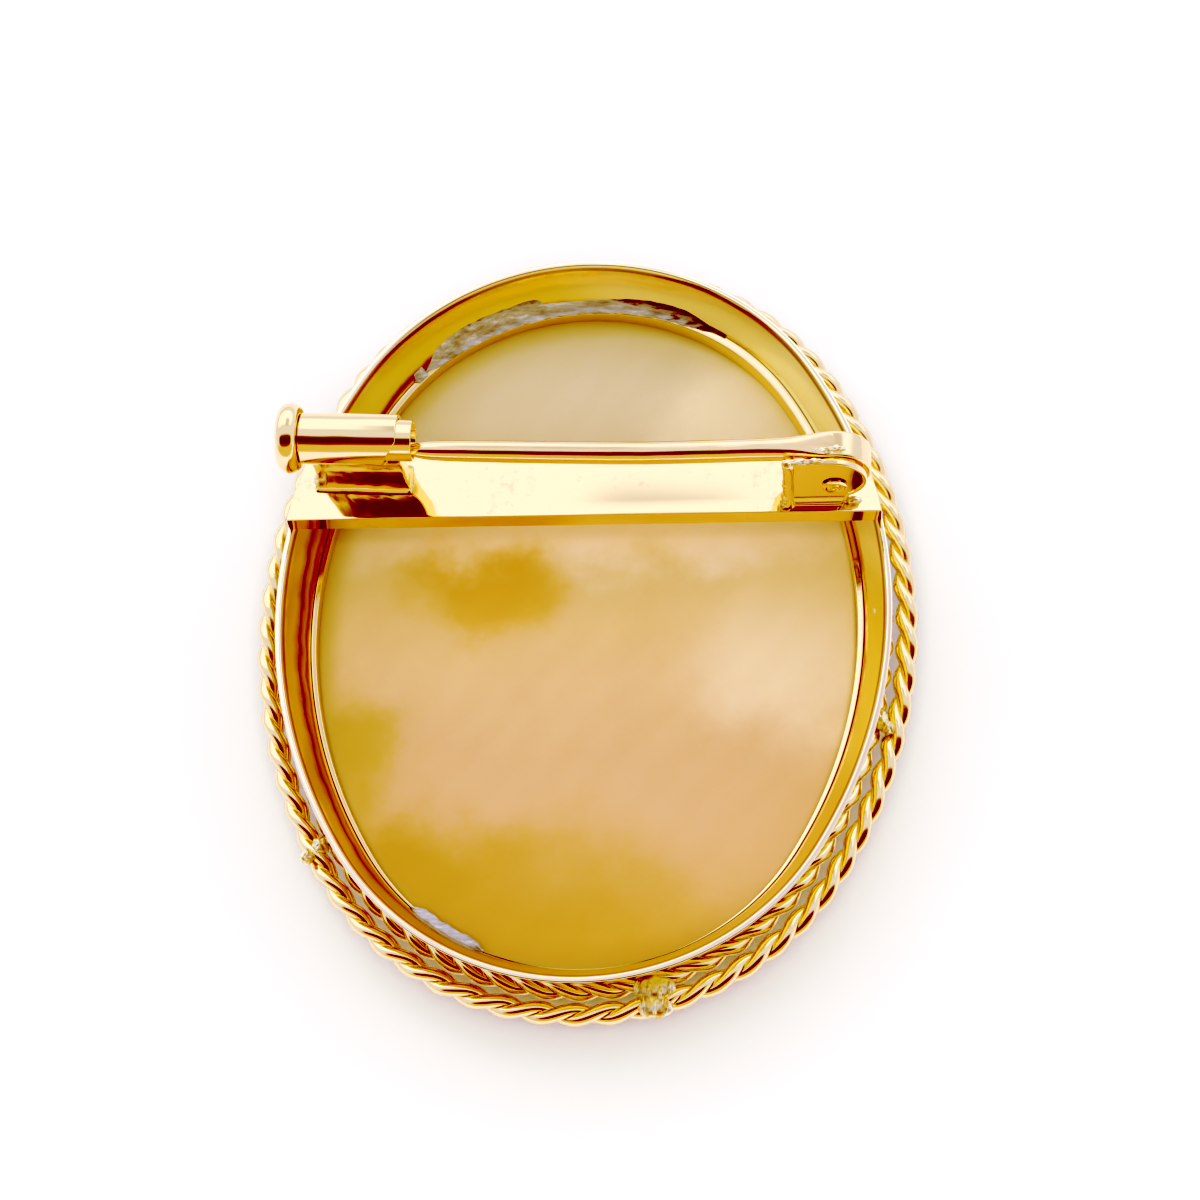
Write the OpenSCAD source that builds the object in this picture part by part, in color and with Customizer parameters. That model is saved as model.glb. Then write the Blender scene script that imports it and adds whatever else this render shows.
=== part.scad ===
// Oval cameo brooch in yellow gold, lying on its carved front.
// X runs along the cross plate, Y up the oval, Z from the table to the back of the brooch.
// Lengths are millimetres, angles degrees. The origin is under the middle of the oval.

/* [Oval] */
// Inner half width of the cup's rim at the back
half_w = 17.75; // [17:0.05:19]
// Inner half height of the cup's rim
half_h = 22.7; // [21:0.05:24]
// How much less than the half width the radius of the oval's ends is
end_inset = 1.95; // [1.5:0.05:2.5]

/* [Cup] */
// Height of the cup from its front lip to its rim
cup_h = 5.3; // [5:0.05:6]
// How much wider the cup is at its rim than round the shell
cup_flare = 1.3; // [1.15:0.05:1.5]
// Thickness of the sheet
wall_t = 0.32; // [0.25:0.01:0.4]
// Thickness of the front lip
lip_t = 0.28; // [0.2:0.01:0.4]
// Width of the front lip over the shell
lip_w = 0.55; // [0.4:0.05:0.8]
// Fitting gap round pieces that are pressed in
fit_gap = 0.03; // [0.02:0.01:0.05]

/* [Cameo] */
// Thickness of the shell at its edge
shell_edge_t = 1.2; // [1.1:0.05:1.5]
// How far the ground bulges forward in the middle
ground_dome = 0.6; // [0.3:0.05:0.8]
// Height of the carving above the ground
relief_h = 1.2; // [0.8:0.05:1.5]
// How far the carving stands in front of the cup
cameo_proud = 1.25; // [1.1:0.05:1.6]

/* [Retaining ring] */
// Width of the ring behind the shell
ring_w = 0.4; // [0.3:0.05:0.6]
// Thickness of the ring
ring_t = 0.7; // [0.6:0.05:0.9]
// How far the ring's opening is set towards the lower end
ring_shift = 0.12; // [0:0.02:0.16]

/* [Ropes] */
// Radius round the two strands of one rope
rope_r = 0.7; // [0.66:0.01:0.74]
// Radius of one wire
wire_r = 0.32; // [0.25:0.01:0.33]
// Full turns of each rope in one round
rope_turns = 34; // [30:1:38]
// Height of the ropes above the front of the cup
rope_rise = 2.1; // [1.5:0.05:2.1]
// Gap between the inner rope and the cup
cup_gap = 0.1; // [0.08:0.01:0.15]
// Gap between the ropes
rope_gap = 0.05; // [0.03:0.01:0.1]

/* [Cross plate] */
// Width of the plate
plate_w = 4.6; // [4.2:0.1:6]
// Thickness of the plate
plate_t = 1.15; // [0.8:0.05:1.5]
// How far the plate's ends stay inside the rim's outer edge
plate_inset = 0.05; // [0.04:0.01:0.1]
// Distance from the oval's middle to the plate's lower edge
plate_y = 4.9; // [3:0.1:7]
// Distance from the plate's lower edge to the pin's plane
pin_off = 2.15; // [2.05:0.05:2.4]

/* [Catch] */
// Outer radius of the fixed barrel
barrel_r = 1.5; // [1.45:0.01:1.7]
// Length of the fixed barrel
barrel_len = 5.65; // [5:0.05:7]
// Distance from the rim's side to the barrel's mouth
barrel_inset = 7.5; // [7:0.05:8.7]
// Height of the barrel's axis above the plate
catch_rise = 5.1; // [5:0.05:5.2]
// Distance from the pin's plane to the barrel's axis
catch_off = 0.4; // [0.1:0.05:0.45]
// Angle by which the catch is turned off the plate's line
catch_turn = 2.5; // [0:0.5:4]
// Outer radius of the sliding tube
tube_r = 1.2; // [1.18:0.01:1.25]
// Wall of the sliding tube
tube_wall = 0.2; // [0.15:0.01:0.22]
// How far the sliding tube stands out of the barrel
tube_out = 0.85; // [0.7:0.05:1.2]
// Running gap between tube and barrel
slide_gap = 0.06; // [0.04:0.01:0.08]
// Radius of the pull knob
knob_r = 2.05; // [1.8:0.05:2.4]
// Thickness of the pull knob
knob_t = 1.25; // [1:0.05:1.6]
// Length of the mouth's bevel along the barrel
bevel_len = 0.95; // [0.6:0.05:1.3]
// Angle from below at which the bevel faces, towards the cheek plate's side
bevel_turn = 65; // [45:5:80]
// Length of the barrel's foot
foot_len = 5.5; // [4:0.1:5.6]
// Width of the foot on the plate
foot_base_w = 1.5; // [1.2:0.1:2]
// Width of the foot's waist
foot_waist_w = 1.1; // [0.8:0.1:1.4]
// Radius of the solder ball at the foot's outer end
ball_r = 0.6; // [0.4:0.05:0.7]

/* [Hinge] */
// Distance from the rim's side to the rivet
hinge_inset = 2.95; // [2.75:0.05:3.7]
// Height of the rivet above the plate
hinge_rise = 2.45; // [2.3:0.05:2.6]
// Radius of the rivet
rivet_r = 0.42; // [0.3:0.01:0.5]
// Radius of the rivet's heads
rivet_head_r = 0.72; // [0.6:0.01:0.85]
// Thickness of the rivet's heads
rivet_head_t = 0.14; // [0.1:0.01:0.2]
// Running gap round the rivet and beside the eye
hinge_gap = 0.06; // [0.04:0.01:0.08]
// Length of the cheek plate
cheek_len = 4.5; // [4.2:0.1:4.8]
// Height of the cheek plate
cheek_h = 5.25; // [4.8:0.05:5.4]
// Thickness of the cheek plate
cheek_t = 0.4; // [0.3:0.05:0.5]
// Distance from the rivet to the cheek plate's round end
cheek_end = 1.85; // [1.6:0.05:2.1]
// Radius of the cheek plate's round end
cheek_r = 2.2; // [1.8:0.05:2.4]
// Radius of the collar between cheek plate and eye
collar_r = 1.3; // [1:0.05:1.5]
// Thickness of the collar
collar_t = 0.4; // [0.3:0.05:0.5]
// Radius of the post at the cheek plate's straight end
post_r = 0.35; // [0.3:0.05:0.4]

/* [Pin] */
// Radius of the eye
eye_r = 2.15; // [2:0.05:2.2]
// Width of the eye
eye_w = 1.7; // [1.5:0.05:1.8]
// Length of the flat part beside the eye, which narrows over its outer half
flat_len = 2.8; // [2.4:0.1:3.2]
// Thickness of the flat part
flat_t = 0.55; // [0.4:0.05:0.7]
// Radius of the stem
stem_r = 0.66; // [0.58:0.01:0.7]
// Distance from the rivet to the stem's lowest place
sag_x = 11.2; // [10:0.1:13]
// How far the stem sags there
stem_sag = 0.2; // [0:0.05:0.3]
// Radius of the stem at the root of its point
tip_r = 0.58; // [0.5:0.01:0.62]
// Length of the point
point_len = 1.8; // [1.6:0.05:2.2]
// How far the point reaches into the sliding tube
tip_in = 0.8; // [0.5:0.05:0.82]
// How much higher than the hinge end of the stem the point ends
tip_lift = 0.72; // [0.68:0.01:0.78]

/* [Hidden] */
$fn = 96;

// Overlap of flush faces, overlap of soldered pieces, and how far a drill passes what it cuts
tiny = 0.01;
sink = 0.05;
past = 1;

// Levels above the table
cup_z = cameo_proud;
shell_front_z = cup_z + lip_t + fit_gap;
shell_back_z = shell_front_z + shell_edge_t;
ring_z = shell_back_z + fit_gap;
ring_top_z = ring_z + ring_t;
rim_z = cup_z + cup_h;
rope_z = cup_z + rope_rise;
plate_z = rim_z + plate_t;
catch_z = plate_z + catch_rise;
hinge_z = plate_z + hinge_rise;

// The oval has four arcs: two ends with radius end_r, and two flatter sides with radius side_r.
// What follows it is set off from the rim's inner edge, outwards if positive.
end_r = half_w - end_inset;
end_shift = half_h - end_r;
side_r = (half_w * half_w + end_shift * end_shift - end_r * end_r) / (2 * end_inset);
side_shift = side_r - half_w;
join_angle = atan2(end_shift, side_shift);
neck_in_off = -cup_flare;
neck_out_off = neck_in_off + wall_t;
shell_off = neck_in_off - fit_gap;
inner_rope_off = neck_out_off + cup_gap + rope_r;
outer_rope_off = inner_rope_off + 2 * rope_r + rope_gap;
strand_off = rope_r - wire_r;

// Fittings on the plate
pin_y = plate_y + pin_off;
catch_y = pin_y + catch_off;
ball_lift = 0.9 * ball_r;
mouth_x = barrel_inset - half_w;
hinge_x = half_w - hinge_inset;
tube_bore_r = tube_r - tube_wall;
eye_y = pin_y - eye_w / 2;
collar_y = eye_y - hinge_gap - collar_t;
cheek_y = collar_y - cheek_t;
cheek_x = hinge_x + cheek_end - cheek_len;

// Places along the pin: the hinge end, the lowest place and the end of the point
stem_z = hinge_z + eye_r - stem_r;
stem_start = [hinge_x, pin_y, stem_z];
stem_low = [hinge_x - sag_x, pin_y, stem_z - stem_sag];
stem_end = [mouth_x + tube_out - tip_in, pin_y, stem_z + tip_lift];
rise_len = norm(stem_end - stem_low);
point_end_r = tip_r / 3;

// Points round the oval

// Point at normal angle t on the oval set off by off, and the outward direction there
function outward(t) = [cos(t), sin(t), 0];
function oval_point(off, t, z) =
    abs(sin(t)) < sin(join_angle)
        ? [-sign(cos(t)) * side_shift, 0, z] + (side_r + off) * outward(t)
        : [0, sign(sin(t)) * end_shift, z] + (end_r + off) * outward(t);

// Normal angle at a share of the running length, counted from +X
function quarter_angle(off, len) =
    let(side_len = (side_r + off) * join_angle)
    len < side_len ? len / (side_r + off) : join_angle + (len - side_len) / (end_r + off);
function angle_at(off, share) =
    let(
        quarter_len = (side_r + off) * join_angle + (end_r + off) * (90 - join_angle),
        quarter = floor(4 * share),
        len = (4 * share - quarter) * quarter_len
    )
    quarter % 2 == 0
        ? 90 * quarter + quarter_angle(off, len)
        : 90 * quarter + 90 - quarter_angle(off, quarter_len - len);

// The oval set off by off, as a flat outline
oval_sides = 96;
oval_angles = [for (j = [0:oval_sides - 1]) angle_at(0, j / oval_sides)];
module oval_outline(off)
    polygon([for (t = oval_angles) [oval_point(off, t, 0)[0], oval_point(off, t, 0)[1]]]);

// Closed band through rows of points, one row for each place round the oval
module closed_band(rows) {
    n = len(rows);
    m = len(rows[0]);
    faces = [
        for (i = [0:n - 1])
            for (j = [0:m - 1])
                let(k = (i + 1) % n, l = (j + 1) % m)
                for (face = [[i * m + j, i * m + l, k * m + l], [i * m + j, k * m + l, k * m + j]])
                    face
    ];
    polyhedron(points = [for (row = rows) for (p = row) p], faces = faces, convexity = 10);
}

// Cup and plate

// The cup's section has the offset from the rim's inner edge and the height
module cup() {
    section = [
        [neck_in_off - lip_w, cup_z],
        [neck_out_off - lip_t / 2, cup_z],
        [neck_out_off, cup_z + lip_t / 2],
        [neck_out_off, ring_top_z],
        [wall_t, rim_z],
        [0, rim_z],
        [neck_in_off, ring_top_z],
        [neck_in_off, cup_z + lip_t],
        [neck_in_off - lip_w, cup_z + lip_t]
    ];
    closed_band([for (t = oval_angles) [for (place = section) oval_point(place[0], t, place[1])]]);
}

module cross_plate() {
    intersection() {
        translate([-half_w - wall_t, plate_y, rim_z - sink])
            cube([2 * (half_w + wall_t), plate_w, plate_t + sink]);
        intersection_for (side = [-1, 1])
            translate([side * side_shift, 0, rim_z - sink])
                cylinder(r = side_r + wall_t - plate_inset, h = plate_t + sink);
    }
}

// Catch

// Places a piece drawn along +Z from the barrel's mouth towards its outer end
module on_catch_axis() {
    translate([mouth_x, catch_y, catch_z])
        rotate([0, 0, -catch_turn])
            rotate([0, -90, 0])
                children();
}

// The barrel, with its mouth cut back on one side of the axis
module barrel() {
    cut = 2 * barrel_r;
    on_catch_axis()
        difference() {
            cylinder(r = barrel_r, h = barrel_len);
            rotate([0, 0, bevel_turn])
                rotate([0, -atan2(bevel_len, barrel_r), 0])
                    translate([-cut, -cut, -cut])
                        cube([cut, 2 * cut, cut]);
        }
}

module barrel_bore() {
    on_catch_axis()
        translate([0, 0, -past])
            cylinder(r = tube_r + slide_gap, h = barrel_len + 2 * past);
}

// The foot is drawn as a section across the catch and runs along it
module catch_foot() {
    foot_h = catch_rise - barrel_r + wall_t;
    translate([mouth_x, catch_y, plate_z])
        rotate([0, 0, -catch_turn]) {
            rotate([90, 0, -90])
                linear_extrude(height = foot_len)
                    polygon([
                        [-foot_base_w / 2, -sink],
                        [foot_base_w / 2, -sink],
                        [foot_base_w / 2, wall_t],
                        [foot_waist_w / 2, foot_h / 2],
                        [foot_base_w / 2, foot_h],
                        [-foot_base_w / 2, foot_h],
                        [-foot_waist_w / 2, foot_h / 2],
                        [-foot_base_w / 2, wall_t]
                    ]);
            translate([ball_r / 2 - foot_len, -foot_base_w / 4, ball_lift])
                sphere(r = ball_r);
        }
}

// Hinge

// A cylinder on the rivet's axis, from y0 to y1
module on_rivet_axis(r, y0, y1) {
    translate([hinge_x, y1, hinge_z])
        rotate([90, 0, 0])
            cylinder(r = r, h = y1 - y0);
}

// Cheek plate with a round end, on its post and with the collar behind it
module hinge_cheek() {
    round_x = cheek_len - cheek_r;
    translate([cheek_x, cheek_y + cheek_t, plate_z]) {
        rotate([90, 0, 0])
            linear_extrude(height = cheek_t) {
                translate([round_x, cheek_h - cheek_r])
                    circle(r = cheek_r);
                translate([0, -sink])
                    square([round_x, cheek_h + sink]);
                translate([0, -sink])
                    square([round_x + cheek_r / 2, cheek_h - cheek_r + sink]);
            }
        translate([0, -cheek_t / 2, -sink])
            cylinder(r = post_r, h = cheek_h + sink);
    }
    on_rivet_axis(collar_r, cheek_y + cheek_t - tiny, collar_y + collar_t);
}

// Nodes

// Soldered gold work: cup, cross plate, catch barrel on its foot, and hinge cheek
module frame() {
    color("gold")
        difference() {
            union() {
                cup();
                cross_plate();
                catch_foot();
                barrel();
                hinge_cheek();
            }
            barrel_bore();
            on_rivet_axis(rivet_r + hinge_gap / 2, cheek_y - past, eye_y);
        }
}

// Ring that is pressed in behind the shell. Its opening sits a little towards the lower end.
module retaining_ring() {
    color("khaki")
        translate([0, 0, ring_z])
            linear_extrude(height = ring_t)
                difference() {
                    oval_outline(neck_in_off - fit_gap);
                    translate([0, -ring_shift])
                        oval_outline(neck_in_off - ring_w);
                }
}

module catch_slider() {
    edge_r = knob_t / 2;
    color("goldenrod")
        on_catch_axis()
            rotate_extrude() {
                translate([tube_bore_r, -tube_out])
                    square([tube_wall, tube_out + barrel_len + slide_gap + knob_t / 2]);
                translate([0, barrel_len + slide_gap]) {
                    square([knob_r - edge_r, knob_t]);
                    intersection() {
                        translate([knob_r - edge_r, edge_r])
                            circle(r = edge_r);
                        square([knob_r, knob_t]);
                    }
                }
            }
}

// Places a piece drawn along +Z so that it runs from one point of the pin's plane towards another
module along_pin(from, to) {
    translate(from)
        rotate([0, atan2(to[0] - from[0], to[2] - from[2]), 0])
            children();
}

// Pin: an eye on the rivet, a flat part beside it, and a stem that rises into the catch
module pin_stem() {
    color("gold")
        difference() {
            union() {
                on_rivet_axis(eye_r, eye_y, eye_y + eye_w);
                translate([hinge_x, pin_y, hinge_z + eye_r - flat_t])
                    linear_extrude(height = flat_t)
                        polygon([
                            [0, -eye_w / 2],
                            [0, eye_w / 2],
                            [-flat_len / 2, eye_w / 2],
                            [-flat_len, stem_r / 2],
                            [-flat_len, -stem_r / 2],
                            [-flat_len / 2, -eye_w / 2]
                        ]);
                along_pin(stem_start, stem_low)
                    cylinder(r = stem_r, h = norm(stem_low - stem_start));
                translate(stem_low)
                    sphere(r = stem_r);
                along_pin(stem_low, stem_end)
                    rotate_extrude()
                        polygon([
                            [0, 0],
                            [stem_r, 0],
                            [tip_r, rise_len - point_len],
                            [point_end_r, rise_len],
                            [0, rise_len]
                        ]);
            }
            on_rivet_axis(rivet_r + hinge_gap, eye_y - past, eye_y + eye_w + past);
        }
}

module hinge_rivet() {
    near_y = cheek_y - fit_gap;
    far_y = eye_y + eye_w + hinge_gap;
    color("darkgoldenrod") {
        on_rivet_axis(rivet_r, near_y - tiny, far_y + tiny);
        on_rivet_axis(rivet_head_r, near_y - rivet_head_t, near_y);
        on_rivet_axis(rivet_head_r, far_y, far_y + rivet_head_t);
    }
}

// Ropes

rings_per_turn = 8;
wire_sides = 5;
ring_count = rope_turns * rings_per_turn;

function strand_point(off, i, hand, phase) =
    let(
        k = (i + ring_count) % ring_count,
        t = angle_at(off, k / ring_count),
        twist = hand * 360 * k / rings_per_turn + phase
    )
    oval_point(off, t, rope_z) + strand_off * (cos(twist) * outward(t) + [0, 0, sin(twist)]);

// One strand: a wire along a helix round the rope's axis, right-handed if hand is 1
module strand(off, hand, phase) {
    closed_band([
        for (i = [0:ring_count - 1])
            let(
                p = strand_point(off, i, hand, phase),
                along = strand_point(off, i + 1, hand, phase) - strand_point(off, i - 1, hand, phase),
                side = cross(along, [0, 0, 1]) / norm(cross(along, [0, 0, 1])),
                up = cross(side, along) / norm(along)
            )
            [
                for (j = [0:wire_sides - 1])
                    p + wire_r * (cos(j * 360 / wire_sides) * up + sin(j * 360 / wire_sides) * side)
            ]
    ]);
}

module rope_outer_a() {
    color("gold")
        strand(outer_rope_off, 1, 0);
}

module rope_outer_b() {
    color("gold")
        strand(outer_rope_off, 1, 180);
}

module rope_inner_a() {
    color("goldenrod")
        strand(inner_rope_off, -1, 0);
}

module rope_inner_b() {
    color("goldenrod")
        strand(inner_rope_off, -1, 180);
}

// Carving

// Blossoms: place across and up as shares of the shell's half width and height, radius as a
// share of its half width, petals, and turn
BLOSSOM = [
    ["across", "up", "radius", "petals", "turn"],
    [0.02, 0.14, 0.38, 5, 10],
    [-0.40, -0.32, 0.27, 5, 40],
    [0.42, -0.26, 0.25, 5, 75],
    [0.10, 0.62, 0.18, 5, 0],
    [0.02, -0.60, 0.17, 5, 20]
];
// Leaves: place of the stalk as above, direction, length and half width as shares of half width
LEAF = [
    ["across", "up", "direction", "length", "half_width"],
    [-0.26, 0.36, 128, 0.52, 0.13],
    [0.32, 0.36, 52, 0.50, 0.13],
    [-0.36, 0.08, 172, 0.42, 0.12],
    [0.42, 0.06, 8, 0.38, 0.12],
    [-0.16, -0.44, 246, 0.52, 0.12],
    [0.22, -0.42, 296, 0.54, 0.12],
    [-0.52, -0.52, 222, 0.26, 0.10],
    [0.56, -0.44, 318, 0.24, 0.10]
];
cameo_rings = 16;
edge_share = 0.955;
ground_step = 0.1;
petal_dip = 0.2;
vein_share = 0.25;
leaf_h = 0.55 * relief_h;
shell_half_w = half_w + shell_off;
shell_half_h = half_h + shell_off;

function bump(share) = share >= 1 ? 0 : sqrt(1 - share * share);

function petals(r, angle, radius, count, turn, height) =
    let(edge = radius * (1 - petal_dip * (1 - abs(cos(count * (angle - turn) / 2)))))
    r >= edge ? 0 : height * (0.6 + 0.4 * r / edge) * (1 - pow(r / edge, 10));

function blossom(x, y, row) =
    let(
        dx = x - row[0] * shell_half_w,
        dy = y - row[1] * shell_half_h,
        r = norm([dx, dy]),
        angle = atan2(dy, dx),
        size = row[2] * shell_half_w
    )
    max(
        petals(r, angle, size, row[3], row[4], 0.8 * relief_h),
        petals(r, angle, 0.68 * size, row[3], row[4] + 36, relief_h),
        1.05 * relief_h * bump(r / (0.34 * size))
    );

function leaf(x, y, row) =
    let(
        dx = x - row[0] * shell_half_w,
        dy = y - row[1] * shell_half_h,
        along = (dx * cos(row[2]) + dy * sin(row[2])) / (row[3] * shell_half_w),
        across = (dy * cos(row[2]) - dx * sin(row[2])) / (row[4] * shell_half_w),
        width = along <= 0 || along >= 1 ? 0 : sin(180 * pow(along, 0.8))
    )
    width <= abs(across)
        ? 0
        : leaf_h * bump(across / width) * (1 - vein_share * (1 - min(1, 4 * abs(across))));

function carving(x, y) = max(
    max([for (i = [1:len(BLOSSOM) - 1]) blossom(x, y, BLOSSOM[i])]),
    max([for (i = [1:len(LEAF) - 1]) leaf(x, y, LEAF[i])])
);

// Front of the shell at a point and its share of the way out: flat under the lip, then a domed
// ground with the carving on it
function front_z(p, share) =
    share >= edge_share ? shell_front_z :
    let(ground = shell_front_z - ground_step - ground_dome * (1 - pow(share / edge_share, 2)))
    max(0, ground - carving(p[0], p[1]));

function ring_share(i) = i == 0 ? 1 : edge_share * (1 - (i - 1) / cameo_rings);

module cameo() {
    n = oval_sides;
    outline = [for (t = oval_angles) oval_point(shell_off, t, 0)];
    front = [
        for (i = [0:cameo_rings])
            for (j = [0:n - 1])
                let(share = ring_share(i), p = share * outline[j])
                [p[0], p[1], front_z(p, share)]
    ];
    back = [for (p = outline) [p[0], p[1], shell_back_z]];
    points = concat(front, [[0, 0, front_z([0, 0], 0)]], back, [[0, 0, shell_back_z]]);
    hub = n * (cameo_rings + 1);
    rear = hub + 1;
    faces = concat(
        [
            for (i = [0:cameo_rings - 1])
                for (j = [0:n - 1])
                    let(k = (j + 1) % n, a = i * n + j, b = i * n + k, c = a + n, d = b + n)
                    for (face = [[a, b, c], [b, d, c]])
                        face
        ],
        [for (j = [0:n - 1]) [cameo_rings * n + j, cameo_rings * n + (j + 1) % n, hub]],
        [
            for (j = [0:n - 1])
                let(k = (j + 1) % n)
                for (face = [[j, rear + j, k], [rear + j, rear + k, k], [rear + k, rear + j, rear + n]])
                    face
        ]
    );
    color("peachpuff")
        polyhedron(points = points, faces = faces, convexity = 10);
}

frame();
retaining_ring();
cameo();
rope_outer_a();
rope_outer_b();
rope_inner_a();
rope_inner_b();
catch_slider();
pin_stem();
hinge_rivet();
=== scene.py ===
"""Looks of the oval cameo brooch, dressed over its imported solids.

X runs along the pin, Y up the oval and Z from the table to the back of the brooch. Sizes in the
classes are millimetres; a mesh is turned to metres when it becomes a piece.
"""

import logging
import math
from collections.abc import Callable
from dataclasses import dataclass, field
from enum import Enum

import bmesh
import bpy
import numpy as np
from mathutils import Matrix, Vector


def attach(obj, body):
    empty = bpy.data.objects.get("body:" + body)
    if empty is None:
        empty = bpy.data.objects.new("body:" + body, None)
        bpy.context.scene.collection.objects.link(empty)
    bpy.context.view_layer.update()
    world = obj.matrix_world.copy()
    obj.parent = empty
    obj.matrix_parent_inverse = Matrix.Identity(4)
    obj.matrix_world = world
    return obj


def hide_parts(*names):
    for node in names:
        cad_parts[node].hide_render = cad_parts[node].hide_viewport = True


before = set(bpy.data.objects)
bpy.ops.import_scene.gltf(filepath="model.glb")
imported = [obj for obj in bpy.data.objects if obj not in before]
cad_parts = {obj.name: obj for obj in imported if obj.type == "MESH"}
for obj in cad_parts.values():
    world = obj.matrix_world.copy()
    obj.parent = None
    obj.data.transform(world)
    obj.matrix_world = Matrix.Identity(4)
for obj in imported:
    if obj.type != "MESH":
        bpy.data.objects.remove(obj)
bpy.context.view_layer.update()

LOG = logging.getLogger("brooch")
MM = 0.001

Colour = tuple[float, float, float, float]
Curve = tuple[tuple[float, float], ...]
Material = bpy.types.Material
Outline = list[tuple[float, float]]
Place = tuple[float, float, float]
Socket = bpy.types.NodeSocket


class Body(Enum):
    """The bodies that pieces ride on."""

    BROOCH = "brooch"
    CATCH = "catch"
    PIN = "pin"


class Slot(Enum):
    """The record's material slots."""

    GOLD = "gold"
    SHELL = "shell"


class Run(Enum):
    """How a mapped range runs from its start to its end."""

    STRAIGHT = "LINEAR"
    SMOOTH = "SMOOTHSTEP"
    SMOOTHER = "SMOOTHERSTEP"


def linear(colour: str, strength: float = 1.0) -> Colour:
    """Turns an sRGB hex colour to linear.

    Args:
        colour: Six hex digits after a number sign.
        strength: What red, green and blue are multiplied by.

    Returns:
        Red, green, blue and an alpha of 1.
    """
    parts = [int(colour[i : i + 2], 16) / 255 for i in (1, 3, 5)]
    tones = [p / 12.92 if p <= 0.04045 else ((p + 0.055) / 1.055) ** 2.4 for p in parts]
    red, green, blue = (strength * tone for tone in tones)
    return red, green, blue, 1.0


def add_node(tree: bpy.types.NodeTree, kind: str, values: dict) -> bpy.types.Node:
    """Adds one node.

    Args:
        tree: The node tree.
        kind: The node's type name.
        values: What its attributes and inputs get, by the name or number of each. A socket is
            linked to the input, and anything else is set.

    Returns:
        The new node.
    """
    node = tree.nodes.new(kind)
    for name, value in values.items():
        if isinstance(value, Socket):
            tree.links.new(value, node.inputs[name])
        elif isinstance(name, str) and hasattr(node, name):
            setattr(node, name, value)
        else:
            node.inputs[name].default_value = value
    return node


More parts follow.
